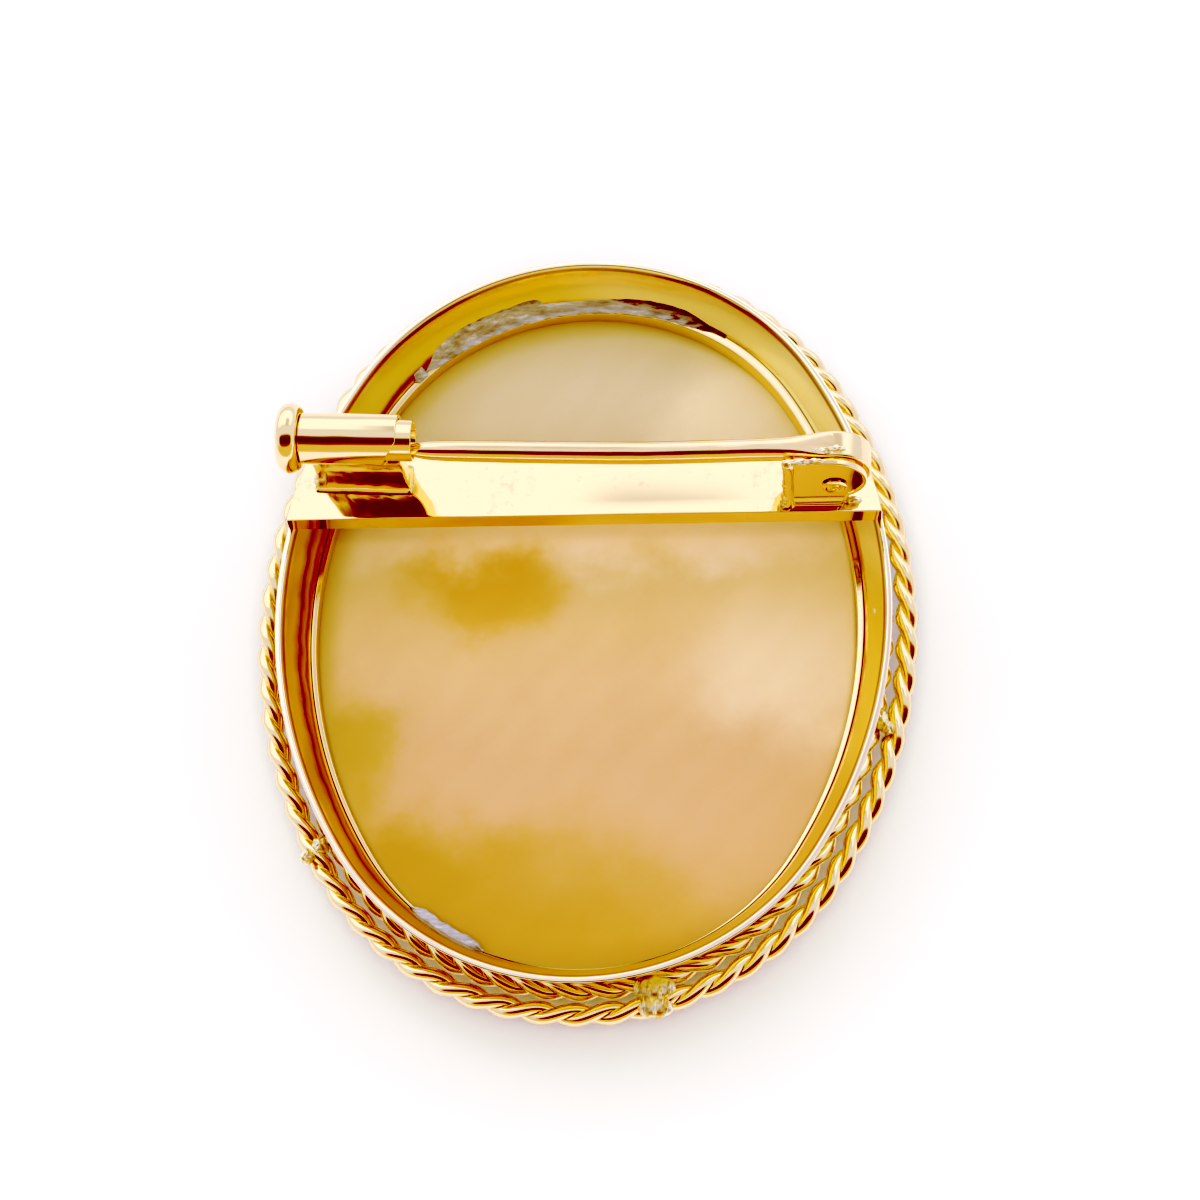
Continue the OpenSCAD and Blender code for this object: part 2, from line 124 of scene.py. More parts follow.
@dataclass(frozen=True)
class Graph:
    """A node tree, with a short method for each kind of node that is used often."""

    tree: bpy.types.NodeTree

    def constants(self, values: dict) -> None:
        """Sets inputs of the material's shader."""
        for name, value in values.items():
            self.tree.nodes["Principled BSDF"].inputs[name].default_value = value

    def feed(self, name: str, socket: Socket) -> None:
        """Links a socket to an input of the material's shader."""
        self.tree.links.new(socket, self.tree.nodes["Principled BSDF"].inputs[name])

    def place(self) -> Socket:
        """Returns the place on the object, in metres."""
        return add_node(self.tree, "ShaderNodeTexCoord", {}).outputs["Object"]

    def axis(self, vector: Socket, name: str) -> Socket:
        """Returns one axis of a vector."""
        return add_node(self.tree, "ShaderNodeSeparateXYZ", {"Vector": vector}).outputs[name]

    def number(self, operation: str, *values: Socket | float) -> Socket:
        """Calculates with numbers."""
        settings = {"operation": operation, **dict(enumerate(values))}
        return add_node(self.tree, "ShaderNodeMath", settings).outputs["Value"]

    def vector(self, operation: str, *values: Socket | Place) -> Socket:
        """Calculates with vectors; a length or a dot product comes out as a number."""
        settings = {"operation": operation, **dict(enumerate(values))}
        output = "Value" if operation in ("LENGTH", "DOT_PRODUCT") else "Vector"
        return add_node(self.tree, "ShaderNodeVectorMath", settings).outputs[output]

    def mapped(self, place: Socket, name: str, value: Place) -> Socket:
        """Returns a place with one mapping, "Scale" or "Rotation"."""
        return add_node(self.tree, "ShaderNodeMapping", {name: value, "Vector": place}).outputs["Vector"]

    def shares(self, place: Socket, middle: tuple[float, float], half: tuple[float, float]) -> Socket:
        """Returns how far a place is from a middle along X and Y, as shares of two half sizes."""
        moved = self.vector("SUBTRACT", place, (*middle, 0.0))
        return self.vector("MULTIPLY", moved, (1 / half[0], 1 / half[1], 0.0))

    def noise(
        self, place: Socket, size_mm: float, detail: float, roughness: float = 0.5, output: str = "Fac"
    ) -> Socket:
        """Adds noise of a real size.

        Args:
            place: Where it is read.
            size_mm: Its size, in millimetres.
            detail: How many finer layers it has.
            roughness: How strong they are.
            output: "Fac" for one number or "Color" for three.

        Returns:
            The noise.
        """
        settings = {"Scale": 1 / (size_mm * MM), "Detail": detail, "Roughness": roughness, "Vector": place}
        return add_node(self.tree, "ShaderNodeTexNoise", settings).outputs[output]

    def span(
        self,
        value: Socket,
        low: Socket | float,
        high: float,
        to: tuple[float, float] = (0.0, 1.0),
        run: Run = Run.STRAIGHT,
    ) -> Socket:
        """Maps one range of numbers to another.

        Args:
            value: What is mapped.
            low: Where the first range starts.
            high: Where it ends.
            to: Start and end of the other range.
            run: How it runs between them.

        Returns:
            The mapped number, which never leaves the second range.
        """
        settings = {"interpolation_type": run.value, "Value": value, "From Min": low, "From Max": high}
        settings |= {"To Min": to[0], "To Max": to[1]}
        return add_node(self.tree, "ShaderNodeMapRange", settings).outputs["Result"]

    def mix(
        self, factor: Socket | float, one: Socket | Colour, two: Socket | Colour, blend: str = "MIX"
    ) -> Socket:
        """Mixes the second colour over the first by a factor."""
        settings = {"data_type": "RGBA", "blend_type": blend, "Factor": factor, "A": one, "B": two}
        return add_node(self.tree, "ShaderNodeMix", settings).outputs["Result"]

    def ramp(self, factor: Socket, stops: list[tuple[float, str]]) -> Socket:
        """Adds a colour ramp.

        Args:
            factor: What the ramp reads.
            stops: Places from 0 to 1 with their hex colours.

        Returns:
            The ramp's colour.
        """
        node = add_node(self.tree, "ShaderNodeValToRGB", {"Fac": factor})
        elements = node.color_ramp.elements
        while len(elements) < len(stops):
            elements.new(0.5)
        for element, (place, colour) in zip(elements, stops):
            element.position = place
            element.color = linear(colour)
        return node.outputs["Color"]

    def bump(self, height: Socket, strength: float, distance_mm: float) -> None:
        """Feeds a bump of a real depth to the shader."""
        settings = {"Strength": strength, "Distance": distance_mm * MM, "Height": height}
        self.feed("Normal", add_node(self.tree, "ShaderNodeBump", settings).outputs["Normal"])


@dataclass(frozen=True)
class Finish:
    """A finish that makes one material of its name."""

    name: str

    def dress(self, graph: Graph) -> None:
        """Sets the shader's constants and adds the nodes that feed it."""
        raise NotImplementedError

    def make(self) -> Material:
        """Builds the material."""
        material = bpy.data.materials.new(self.name)
        material.use_nodes = True
        self.dress(Graph(material.node_tree))
        return material


@dataclass(frozen=True)
class PolishedGold(Finish):
    """Yellow 18 carat gold, buffed after soldering: a mirror with faint waves and fine scratches.

    Args:
        colour: The metal's colour as hex.
        roughness: Roughness of the clean metal.
        wave_mm: Width of the waves that hand work leaves.
        wave: Strength of the waves.
        scratch: How much the polishing scratches roughen the metal.
        stretch: How many times finer the scratches are across X, Y and Z.
    """

    colour: str = "#f9e3b6"
    roughness: float = 0.07
    wave_mm: float = 5.0
    wave: float = 0.05
    scratch: float = 0.08
    stretch: Place = (1.0, 6.0, 6.0)

    def stained(self, graph: Graph, place: Socket) -> Socket | None:
        """Returns the metal's colour where it varies, or None where it is the same all over."""
        return None

    def dress(self, graph: Graph) -> None:
        """Adds stains and painted reflections where the colour varies, then scratches and waves."""
        graph.constants({"Base Color": linear(self.colour), "Metallic": 1.0})
        place = graph.place()
        varied = self.stained(graph, place)
        if varied:
            graph.feed("Base Color", varied)
        # Buffing scratches are about 0.02 mm wide; they are drawn 0.12 mm wide so that they show.
        scratches = graph.noise(graph.mapped(place, "Scale", self.stretch), 0.7, 3.0, 0.6)
        rougher = (self.roughness, self.roughness + self.scratch)
        graph.feed("Roughness", graph.span(scratches, 0.35, 0.75, rougher))
        graph.bump(graph.noise(place, self.wave_mm, 1.0), self.wave, self.wave_mm * 0.2)


@dataclass(frozen=True)
class CupGold(PolishedGold):
    """The cup's gold, with painted reflections: a dark red line of painted shade in the corner over the ring.

    Args:
        painted_shade: Colour of the painted shade lines as hex.
        rim: Colour of the rim, paler as a painted highlight.
        painted_highlight: Colour of the painted highlight at the upper right.
        foot_z: Height of the wall's foot, in millimetres.
        rim_z: Height of the rim, in millimetres.
    """

    painted_shade: str = "#7a2c10"
    rim: str = "#fbe9d0"
    painted_highlight: str = "#fff8dc"
    foot_z: float = 3.49
    rim_z: float = 6.55

    def stained(self, graph: Graph, place: Socket) -> Socket | None:
        """Returns the colour by height, with painted shade and highlights: a narrow line at the foot, and
        broad bands at the left.
        """
        height = graph.axis(place, "Z")
        # Streaks of 2 mm along the wall push the painted bands up and down by 0.9 mm.
        pushed = graph.number("MULTIPLY_ADD", graph.noise(place, 2.0, 3.0), 0.9 * MM, height)
        share = graph.span(pushed, (self.foot_z + 0.40) * MM, (self.foot_z + 3.4) * MM)
        # Both ramps paint reflected light into the gold: dark red painted shade near the wall's foot and at
        # the left, and a pale painted highlight at the rim.
        narrow = [(0.0, self.colour), (0.07, "#d39a52"), (0.14, self.painted_shade), (0.2, "#c07a3a")]
        narrow += [(0.3, self.colour), (0.87, self.colour), (0.96, self.rim)]
        broad = [(0.0, "#ecd08c"), (0.10, "#c89c54"), (0.20, "#b87e42"), (0.28, "#dab86c")]
        broad += [(0.40, "#bc8a48"), (0.46, self.painted_shade), (0.52, "#c69c54"), (0.66, "#e2ca80")]
        broad += [(0.87, "#e2ca80"), (0.96, self.rim)]
        towards_left = graph.vector("DOT_PRODUCT", place, (-0.93, -0.37, 0.0))
        left = graph.span(towards_left, 7 * MM, 13 * MM, run=Run.SMOOTH)
        both = graph.mix(left, graph.ramp(share, narrow), graph.ramp(share, broad))
        # Painted highlight: the wall turns pale cream towards the upper right.
        towards_upper_right = graph.vector("DOT_PRODUCT", place, (0.75, 0.66, 0.0))
        clean = graph.span(towards_upper_right, 12 * MM, 16 * MM, run=Run.SMOOTH)
        polished = graph.mix(clean, both, linear(self.painted_highlight))
        # Painted shade: a dark line about 0.2 mm wide just under the rim's rounded edge.
        line = graph.span(height, (self.rim_z - 0.40) * MM, (self.rim_z - 0.08) * MM)
        shade = graph.ramp(line, [(0.0, "#000000"), (0.25, "#d0d0d0"), (0.6, "#d0d0d0"), (0.9, "#000000")])
        return graph.mix(shade, polished, linear(self.painted_shade))


@dataclass(frozen=True)
class PlateGold(PolishedGold):
    """The cross plate's gold: faint rosy pits, of a colour given as hex, in a mirror finish."""

    pit: str = "#f3d3a6"

    def stained(self, graph: Graph, place: Socket) -> Socket | None:
        """Returns the gold's colour with pits 0.3 mm wide in groups 3 mm apart."""
        both = graph.number("MULTIPLY", graph.noise(place, 3.2, 1.0), graph.noise(place, 0.55, 2.0))
        return graph.ramp(both, [(0.35, self.colour), (0.46, self.pit)])


@dataclass(frozen=True)
class RoughSolder(Finish):
    """Gold solder that ran and froze: paler and duller than the sheet, with a pitted skin."""

    light: str = "#fff6dc"
    dark: str = "#ecca90"
    grain_mm: float = 0.4

    def dress(self, graph: Graph) -> None:
        """Adds the pitted skin."""
        graph.constants({"Metallic": 1.0, "Roughness": 0.4})
        grain = graph.noise(graph.place(), self.grain_mm, 4.0)
        graph.feed("Base Color", graph.ramp(grain, [(0.32, self.dark), (0.5, self.light)]))
        graph.bump(grain, 0.3, self.grain_mm * 0.25)


@dataclass(frozen=True)
class Cloud:
    """A soft patch of colour in the shell: its middle and half sizes in millimetres."""

    x: float
    y: float
    wide: float
    high: float
    strength: float
    colour: str

    def factor(self, graph: Graph, place: Socket) -> Socket:
        """Returns the cloud's strength at a place."""
        middle, half = (self.x * MM, self.y * MM), (self.wide * MM, self.high * MM)
        far = graph.vector("LENGTH", graph.shares(place, middle, half))
        return graph.span(far, 1.15, 0.25, (0.0, self.strength), Run.SMOOTHER)


@dataclass(frozen=True)
class HelmetShell(Finish):
    """Helmet shell, sawn and ground flat behind: satin, cream over peach, with amber clouds.

    Its outer layer is white and its inner layer peach, so what stands out in front is white.

    Args:
        clouds: The clouds, each over those before it.
        painted_edge_reflection: Colour of the painted reflection of the gold along the setting, as hex.
        white: Colour of the outer layer.
    """

    clouds: tuple[Cloud, ...] = (
        Cloud(11.0, 12.5, 9.0, 8.0, 0.8, "#efdbb0"),
        Cloud(13.3, -1.0, 8.2, 8.8, 0.9, "#eed5ab"),
        Cloud(-6.0, 3.0, 5.8, 4.8, 0.85, "#d6ac6a"),
        Cloud(-14.2, -8.0, 4.0, 5.0, 0.95, "#c7a76a"),
        Cloud(-2.5, -22.5, 17.0, 11.5, 0.95, "#c59f62"),
        Cloud(-11.0, -16.0, 9.0, 5.5, 1.0, "#c59f62"),
        # Painted light: this last, pale band under the cross plate lifts the plate's shadow on the shell.
        Cloud(2.0, 7.4, 30.0, 4.4, 0.95, "#fbe6c4"),
    )
    painted_edge_reflection: str = "#bea46e"
    white: str = "#eee3d2"

    def painted_reflection_share(self, graph: Graph, place: Socket) -> Socket:
        """Adds a painted yellow reflection of the gold along the setting, broad at the upper left and narrow
        at the right.

        Args:
            graph: The material's nodes.
            place: The place, in metres.

        Returns:
            The painted reflection's strength.
        """
        across = graph.vector("MULTIPLY", place, (1 / (16.2 * MM), 1 / (21.1 * MM), 0.0))
        squared = graph.vector("MULTIPLY", across, across)
        # The oval's ends are blunter than an ellipse's, so its squares are raised a little before
        # they are added.
        raised = [graph.number("POWER", graph.axis(squared, axis), 1.12) for axis in ("X", "Y")]
        out = graph.number("ADD", *raised)
        side = graph.vector("DOT_PRODUCT", across, (-0.75, 0.45, 0.0))
        broad = graph.span(side, -0.3, 0.8, (0.95, 0.74))
        return graph.span(out, broad, 1.0, (0.0, 0.9), Run.SMOOTH)

    def growth_lines(self, graph: Graph, place: Socket) -> Socket:
        """Returns the shell's growth lines, about 2.5 mm apart and slanting across the plate."""
        turned = graph.mapped(place, "Rotation", (0.0, 0.0, math.radians(40)))
        # The wave node takes 20 radians for each unit, and the lines take 0.4 mm for each radian.
        settings = {"bands_direction": "X", "Scale": 1 / (0.4 * MM * 20), "Distortion": 6.0}
        settings |= {"Detail": 3.0, "Detail Scale": 1.5, "Vector": turned}
        lines = add_node(graph.tree, "ShaderNodeTexWave", settings).outputs["Fac"]
        return graph.ramp(lines, [(0.2, "#c9a377"), (0.8, "#ffffff")])

    def dress(self, graph: Graph) -> None:
        """Adds the shell's colours from top to bottom, then clouds, the painted reflection of the gold,
        lines, layers and grit.
        """
        graph.constants({"IOR": 1.53, "Subsurface Weight": 0.15, "Subsurface Scale": 0.6 * MM})
        graph.constants({"Subsurface Radius": (1.0, 0.55, 0.3)})
        place = graph.place()
        # Noise of 6 mm moves every edge between colours by up to 3.5 mm.
        drift = graph.vector("SUBTRACT", graph.noise(place, 6, 4.0, 0.6, "Color"), (0.5, 0.5, 0.5))
        settings = {"operation": "SCALE", "Scale": 7 * MM, 0: drift}
        pushed = add_node(graph.tree, "ShaderNodeVectorMath", settings).outputs["Vector"]
        uneven = graph.vector("ADD", place, pushed)
        height = graph.span(graph.axis(uneven, "Y"), -20 * MM, 20 * MM)
        stops = [(0.0, "#dcb892"), (0.3, "#d8b590"), (0.5, "#e4c69b")]
        stops += [(0.62, "#e7cfa6"), (0.8, "#d6c49f"), (1.0, "#d4c49f")]
        base = graph.ramp(height, stops)
        for cloud in self.clouds:
            base = graph.mix(cloud.factor(graph, uneven), base, linear(cloud.colour))
        # Paints the yellow reflection of the gold setting into the shell along its edge.
        stained = graph.mix(self.painted_reflection_share(graph, place), base, linear(self.painted_edge_reflection))
        lined = graph.mix(0.02, stained, self.growth_lines(graph, place), "MULTIPLY")
        layer = graph.span(graph.axis(place, "Z"), 0.5 * MM, 0.85 * MM, run=Run.SMOOTH)
        graph.feed("Base Color", graph.mix(layer, linear(self.white), lined))
        # The back is ground with fine grit: a grain of 0.08 mm, drawn 0.15 mm.
        grit = graph.noise(place, 0.15, 2.0)
        graph.feed("Roughness", graph.span(grit, 0.0, 1.0, (0.34, 0.55)))
        graph.bump(grit, 0.12, 0.03)


@dataclass(frozen=True)
class SettingCement(Finish):
    """Setting cement smeared over the ring: silver grey, with dark red-brown painted shade high on the wall.

    Args:
        painted_top_shade: Colour of the painted shade as hex.
        streak_mm: Length of the streaks that a spatula leaves.
        top_shade_z: Heights between which the painted shade fades in.
        slant: How much lower that is for each millimetre along X; it is thickest at the left.
    """

    painted_top_shade: str = "#2c130a"
    streak_mm: float = 1.6
    top_shade_z: tuple[float, float] = (4.98, 5.38)
    slant: float = 0.055

    def dress(self, graph: Graph) -> None:
        """Adds the streaks and the painted shade."""
        graph.constants({"Roughness": 0.38, "Metallic": 0.2})
        place = graph.place()
        streaks = graph.noise(graph.mapped(place, "Scale", (1.0, 4.0, 5.0)), self.streak_mm, 4.0, 0.62)
        greys = [(0.30, "#8f8b84"), (0.44, "#adaba6"), (0.56, "#c0c0bd"), (0.68, "#e2e3e0")]
        # The streaks push the edge of the painted shade up and down by up to their own length.
        raised = graph.number("MULTIPLY_ADD", streaks, self.streak_mm * MM, graph.axis(place, "Z"))
        slanted = graph.number("MULTIPLY_ADD", graph.axis(place, "X"), self.slant, raised)
        low, high = self.top_shade_z
        # Painted shade: the cement turns dark red-brown high on the wall.
        painted_top_shade = graph.span(slanted, low * MM, high * MM, run=Run.SMOOTH)
        graph.feed("Base Color", graph.mix(painted_top_shade, graph.ramp(streaks, greys), linear(self.painted_top_shade)))
        graph.bump(streaks, 0.4, 0.06)


@dataclass(frozen=True)
class MattPaper(Finish):
    """White matt paper under the brooch: almost white, with no gloss."""

    colour: str = "#fbf9fa"

    def dress(self, graph: Graph) -> None:
        """Sets the paper's constants."""
        graph.constants({"Base Color": linear(self.colour), "Roughness": 0.95, "Specular IOR Level": 0.1})


def material_of(finish: Finish) -> Material:
    """Returns a dataclass field that holds the finish's material."""
    return field(default_factory=finish.make)


@dataclass
class Finishes:
    """One material of each finish, made once."""

    wall: Material = material_of(
        CupGold("polished_gold_cup", "#f5e6a8", roughness=0.08, wave_mm=4.0, wave=0.10)
    )
    ring: Material = material_of(PolishedGold("polished_gold_ring", roughness=0.1))
    plate: Material = material_of(
        PlateGold("mirror_gold_plate", roughness=0.05, wave_mm=9.0, wave=0.03, scratch=0.05)
    )
    fitting: Material = material_of(
        PolishedGold("polished_gold_fitting", roughness=0.06, wave_mm=2.5, wave=0.09)
    )
    soldered: Material = material_of(
        PolishedGold("soldered_gold_foot", roughness=0.10, wave_mm=1.1, wave=0.35)
    )
    pin: Material = material_of(
        PolishedGold("drawn_gold_pin", "#f9e2b8", 0.09, 3.0, 0.10, 0.14, stretch=(0.5, 9.0, 9.0))
    )
    wire: Material = material_of(PolishedGold("drawn_gold_wire", roughness=0.10, wave_mm=1.2, wave=0.06))
    solder: Material = material_of(RoughSolder("gold_solder"))
    shell: Material = material_of(HelmetShell("helmet_shell"))
    cement: Material = material_of(SettingCement("setting_cement"))
    paper: Material = material_of(MattPaper("matt_paper"))


@dataclass
class Form:
    """Points and faces of one mesh, in millimetres."""

    points: list = field(default_factory=list)
    faces: list = field(default_factory=list)

    def add(self, other: "Form") -> "Form":
        """Adds another form's points and faces and returns this one."""
        start = len(self.points)
        self.points.extend(other.points)
        self.faces.extend([[start + i for i in face] for face in other.faces])
        return self

    def moved(self, matrix: Matrix) -> "Form":
        """Returns the form as a matrix places it."""
        return Form([tuple(matrix @ Vector(p)) for p in self.points], self.faces)

    def piece(
        self,
        name: str,
        finish: Material,
        body: Body = Body.BROOCH,
        slot: Slot = Slot.GOLD,
        replaced: tuple[str, ...] = (),
        crease: float = 50.0,
    ) -> bpy.types.Object:
        """Makes the form a piece that rides on a body.

        Args:
            name: The piece's name.
            finish: Its material.
            body: The body that it rides on.
            slot: Not used.
            replaced: CAD nodes that it stands for.
            crease: Angle over which an edge stays sharp, in degrees.

        Returns:
            The new object.
        """
        mesh = bpy.data.meshes.new(name)
        mesh.from_pydata([tuple(c * MM for c in p) for p in self.points], [], self.faces)
        mesh.validate()
        work = bmesh.new()
        work.from_mesh(mesh)
        bmesh.ops.remove_doubles(work, verts=work.verts, dist=1e-7)
        bmesh.ops.recalc_face_normals(work, faces=work.faces)
        work.to_mesh(mesh)
        work.free()
        mesh.materials.append(finish)
        mesh.polygons.foreach_set("use_smooth", [True] * len(mesh.polygons))
        made = bpy.data.objects.new(name, mesh)
        bpy.context.scene.collection.objects.link(made)
        mesh.set_sharp_from_angle(angle=math.radians(crease))
        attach(made, body.value)
        if replaced:
            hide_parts(*replaced)
        LOG.info("%s: %d faces on %s", name, len(mesh.polygons), body.value)
        return made


def around(steps: int) -> list[tuple[float, float]]:
    """Returns the cosine and sine of each step round a circle."""
    turns = (2 * math.pi * j / steps for j in range(steps))
    return [(math.cos(turn), math.sin(turn)) for turn in turns]


def grid_faces(rows: int, columns: int, close_rows: bool, close_columns: bool) -> list[list[int]]:
    """Returns the quads of a grid of points, row by row.

    Args:
        rows: Number of rows.
        columns: Points in a row.
        close_rows: Whether the last row joins the first.
        close_columns: Whether each row is a loop.
    """
    faces = []
    for i in range(rows if close_rows else rows - 1):
        for j in range(columns if close_columns else columns - 1):
            k, m = (i + 1) % rows, (j + 1) % columns
            faces.append([i * columns + j, i * columns + m, k * columns + m, k * columns + j])
    return faces


def rounded(corners: list[Place], steps: int = 4) -> Outline:
    """Rounds the corners of a closed outline.

    Args:
        corners: X, Y and rounding radius of each corner.
        steps: Steps round each corner.

    Returns:
        The points of the rounded outline.
    """
    out = []
    for i, (x, y, radius) in enumerate(corners):
        if radius <= 0:
            out.append((x, y))
            continue
        here = np.array([x, y])
        before = np.array(corners[i - 1][:2]) - here
        after = np.array(corners[(i + 1) % len(corners)][:2]) - here
        before_len, after_len = np.linalg.norm(before), np.linalg.norm(after)
        before, after = before / before_len, after / after_len
        half = math.acos(float(np.clip(before @ after, -1, 1))) / 2
        reach = min(radius / math.tan(half), 0.49 * before_len, 0.49 * after_len)
        start, end = here + before * reach, here + after * reach
        for t in (s / steps for s in range(steps + 1)):
            out.append(tuple((1 - t) ** 2 * start + 2 * t * (1 - t) * here + t * t * end))
    return out


def inset(outline: Outline, depth: float) -> Outline:
    """Moves a counter-clockwise outline inwards by depth."""
    out = []
    for i, place in enumerate(outline):
        here = np.array(place)
        before = here - np.array(outline[i - 1])
        after = np.array(outline[(i + 1) % len(outline)]) - here
        one = np.array([-before[1], before[0]]) / np.linalg.norm(before)
        two = np.array([-after[1], after[0]]) / np.linalg.norm(after)
        out.append(tuple(here + depth * (one + two) / max(0.3, 1 + one @ two)))
    return out


def loft(rows: list[list[Place]], poles: tuple[Place, ...] = ()) -> Form:
    """Joins loops of equal length in order.

    Args:
        rows: The loops.
        poles: The points that its two ends close to; without them each end is flat.

    Returns:
        The closed form.
    """
    n = len(rows[0])
    points = [p for row in rows for p in row]
    faces = grid_faces(len(rows), n, False, True)
    first, last = list(range(n))[::-1], [len(points) - n + j for j in range(n)]
    if not poles:
        return Form(points, [*faces, first, last])
    for pole, loop in zip(poles, (first, last)):
        faces += [[len(points), loop[j], loop[(j + 1) % n]] for j in range(n)]
        points.append(pole)
    return Form(points, faces)


def slab(outline: Outline, thick: float, edge: float, sunk: float) -> Form:
    """Returns a plate along Z over a counter-clockwise outline, with rounded edges.

    Args:
        outline: The outline's points.
        thick: Its thickness.
        edge: Radius of its edges.
        sunk: How far the upper face is sunk inside a narrow border.

    Returns:
        The form, with true flat faces inside the rounding.
    """
    quarter = [math.radians(a) for a in (0, 30, 60, 90)]
    rows = [(edge + 0.02, 0.0)]
    rows += [(edge * (1 - math.sin(a)), edge * (1 - math.cos(a))) for a in quarter]
    rows += [(edge * (1 - math.cos(a)), thick - edge * (1 - math.sin(a))) for a in quarter]
    border = ((0.02, 0.0), (0.08, 0.0), (0.11, 0.3), (0.15, 1.0), (0.2, 1.0))
    rows += [(edge + inward, thick - share * sunk) for inward, share in border]
    return loft([[(x, y, z) for x, y in inset(outline, depth)] for depth, z in rows])


def lathe(profile: Outline, steps: int = 64) -> Form:
    """Turns an open profile of radius and height round Z; ends at radius 0 close to a point."""
    points, faces, rows = [], [], []
    for radius, height in profile:
        row = [(radius * c, radius * s, height) for c, s in around(steps)]
        if radius < 1e-6:
            row = [(0.0, 0.0, height)]
        rows.append(list(range(len(points), len(points) + len(row))))
        points.extend(row)
    for one, two in zip(rows, rows[1:]):
        for j in range(steps):
            k = (j + 1) % steps
            if len(one) == 1:
                faces.append([one[0], two[j], two[k]])
            elif len(two) == 1:
                faces.append([one[j], one[k], two[0]])
            else:
                faces.append([one[j], one[k], two[k], two[j]])
    return Form(points, faces)


def hoop(profile: Outline, steps: int = 96) -> Form:
    """Turns a closed profile of radius and height round Z."""
    points = [(radius * c, radius * s, height) for radius, height in profile for c, s in around(steps)]
    return Form(points, grid_faces(len(profile), steps, True, True))


@dataclass(frozen=True)
class Lump:
    """A rounded lump of solder: its middle, its three half sizes and how uneven it is."""

    x: float
    y: float
    z: float
    wide: float
    deep: float
    tall: float
    uneven: float

    def form(self) -> Form:
        """Returns the lump's form."""
        steps, down = 28, 18
        rows = []
        for a in (math.pi * i / down for i in range(1, down)):
            row = []
            for b in (2 * math.pi * j / steps for j in range(steps)):
                slow = math.sin(3 * b + 5 * self.x) * math.sin(4 * a + self.y)
                fast = math.sin(7 * b + 3 * a + 9 * self.z + self.x) * math.sin(a)
                r = 1 + self.uneven * (slow + 0.6 * fast)
                out = r * math.sin(a)
                x, y = self.wide * out * math.cos(b), self.deep * out * math.sin(b)
                row.append((self.x + x, self.y + y, self.z + self.tall * r * math.cos(a)))
            rows.append(row)
        return loft(rows, ((self.x, self.y, self.z + self.tall), (self.x, self.y, self.z - self.tall)))


@dataclass(frozen=True)
class Oval:
    """The rim's inner edge: four arcs, two ends and two flatter sides."""

    half_w: float = 17.75
    half_h: float = 22.7
    end_inset: float = 1.95

    @property
    def end_r(self) -> float:
        """Radius of the ends."""
        return self.half_w - self.end_inset

    @property
    def end_shift(self) -> float:
        """Distance of the ends' centres from the middle."""
        return self.half_h - self.end_r

    @property
    def side_r(self) -> float:
        """Radius of the sides."""
        return (self.half_w**2 + self.end_shift**2 - self.end_r**2) / (2 * self.end_inset)

    @property
    def side_shift(self) -> float:
        """Distance of the sides' centres from the middle."""
        return self.side_r - self.half_w

    @property
    def join(self) -> float:
        """Normal angle at which a side meets an end, in radians."""
        return math.atan2(self.end_shift, self.side_shift)

    def point(self, off: float, turn: float, z: float) -> np.ndarray:
        """Returns the point at a normal angle on the oval set off by off."""
        out = np.array([math.cos(turn), math.sin(turn), 0.0])
        if abs(out[1]) < math.sin(self.join):
            centre = np.array([-math.copysign(self.side_shift, out[0]), 0.0, z])
            return centre + (self.side_r + off) * out
        return np.array([0.0, math.copysign(self.end_shift, out[1]), z]) + (self.end_r + off) * out

    def angle_at(self, off: float, share: float) -> float:
        """Returns the normal angle at a share of the running length, counted from +X."""
        side_len = (self.side_r + off) * self.join
        end_len = (self.end_r + off) * (math.pi / 2 - self.join)
        quarter = math.floor(4 * share)
        run = (4 * share - quarter) * (side_len + end_len)
        if quarter % 2:
            run = side_len + end_len - run
        turn = run / (self.side_r + off)
        if run >= side_len:
            turn = self.join + (run - side_len) / (self.end_r + off)
        return quarter * math.pi / 2 + (math.pi / 2 - turn if quarter % 2 else turn)

    def band(self, section: Callable[[float], Outline], steps: int = 360) -> Form:
        """Sweeps a closed section of offset and height, given by normal angle, round the oval."""
        points = []
        for turn in (self.angle_at(0, i / steps) for i in range(steps)):
            points.extend(tuple(self.point(off, turn, z)) for off, z in section(turn))
        return Form(points, grid_faces(steps, len(section(0.0)), True, True))


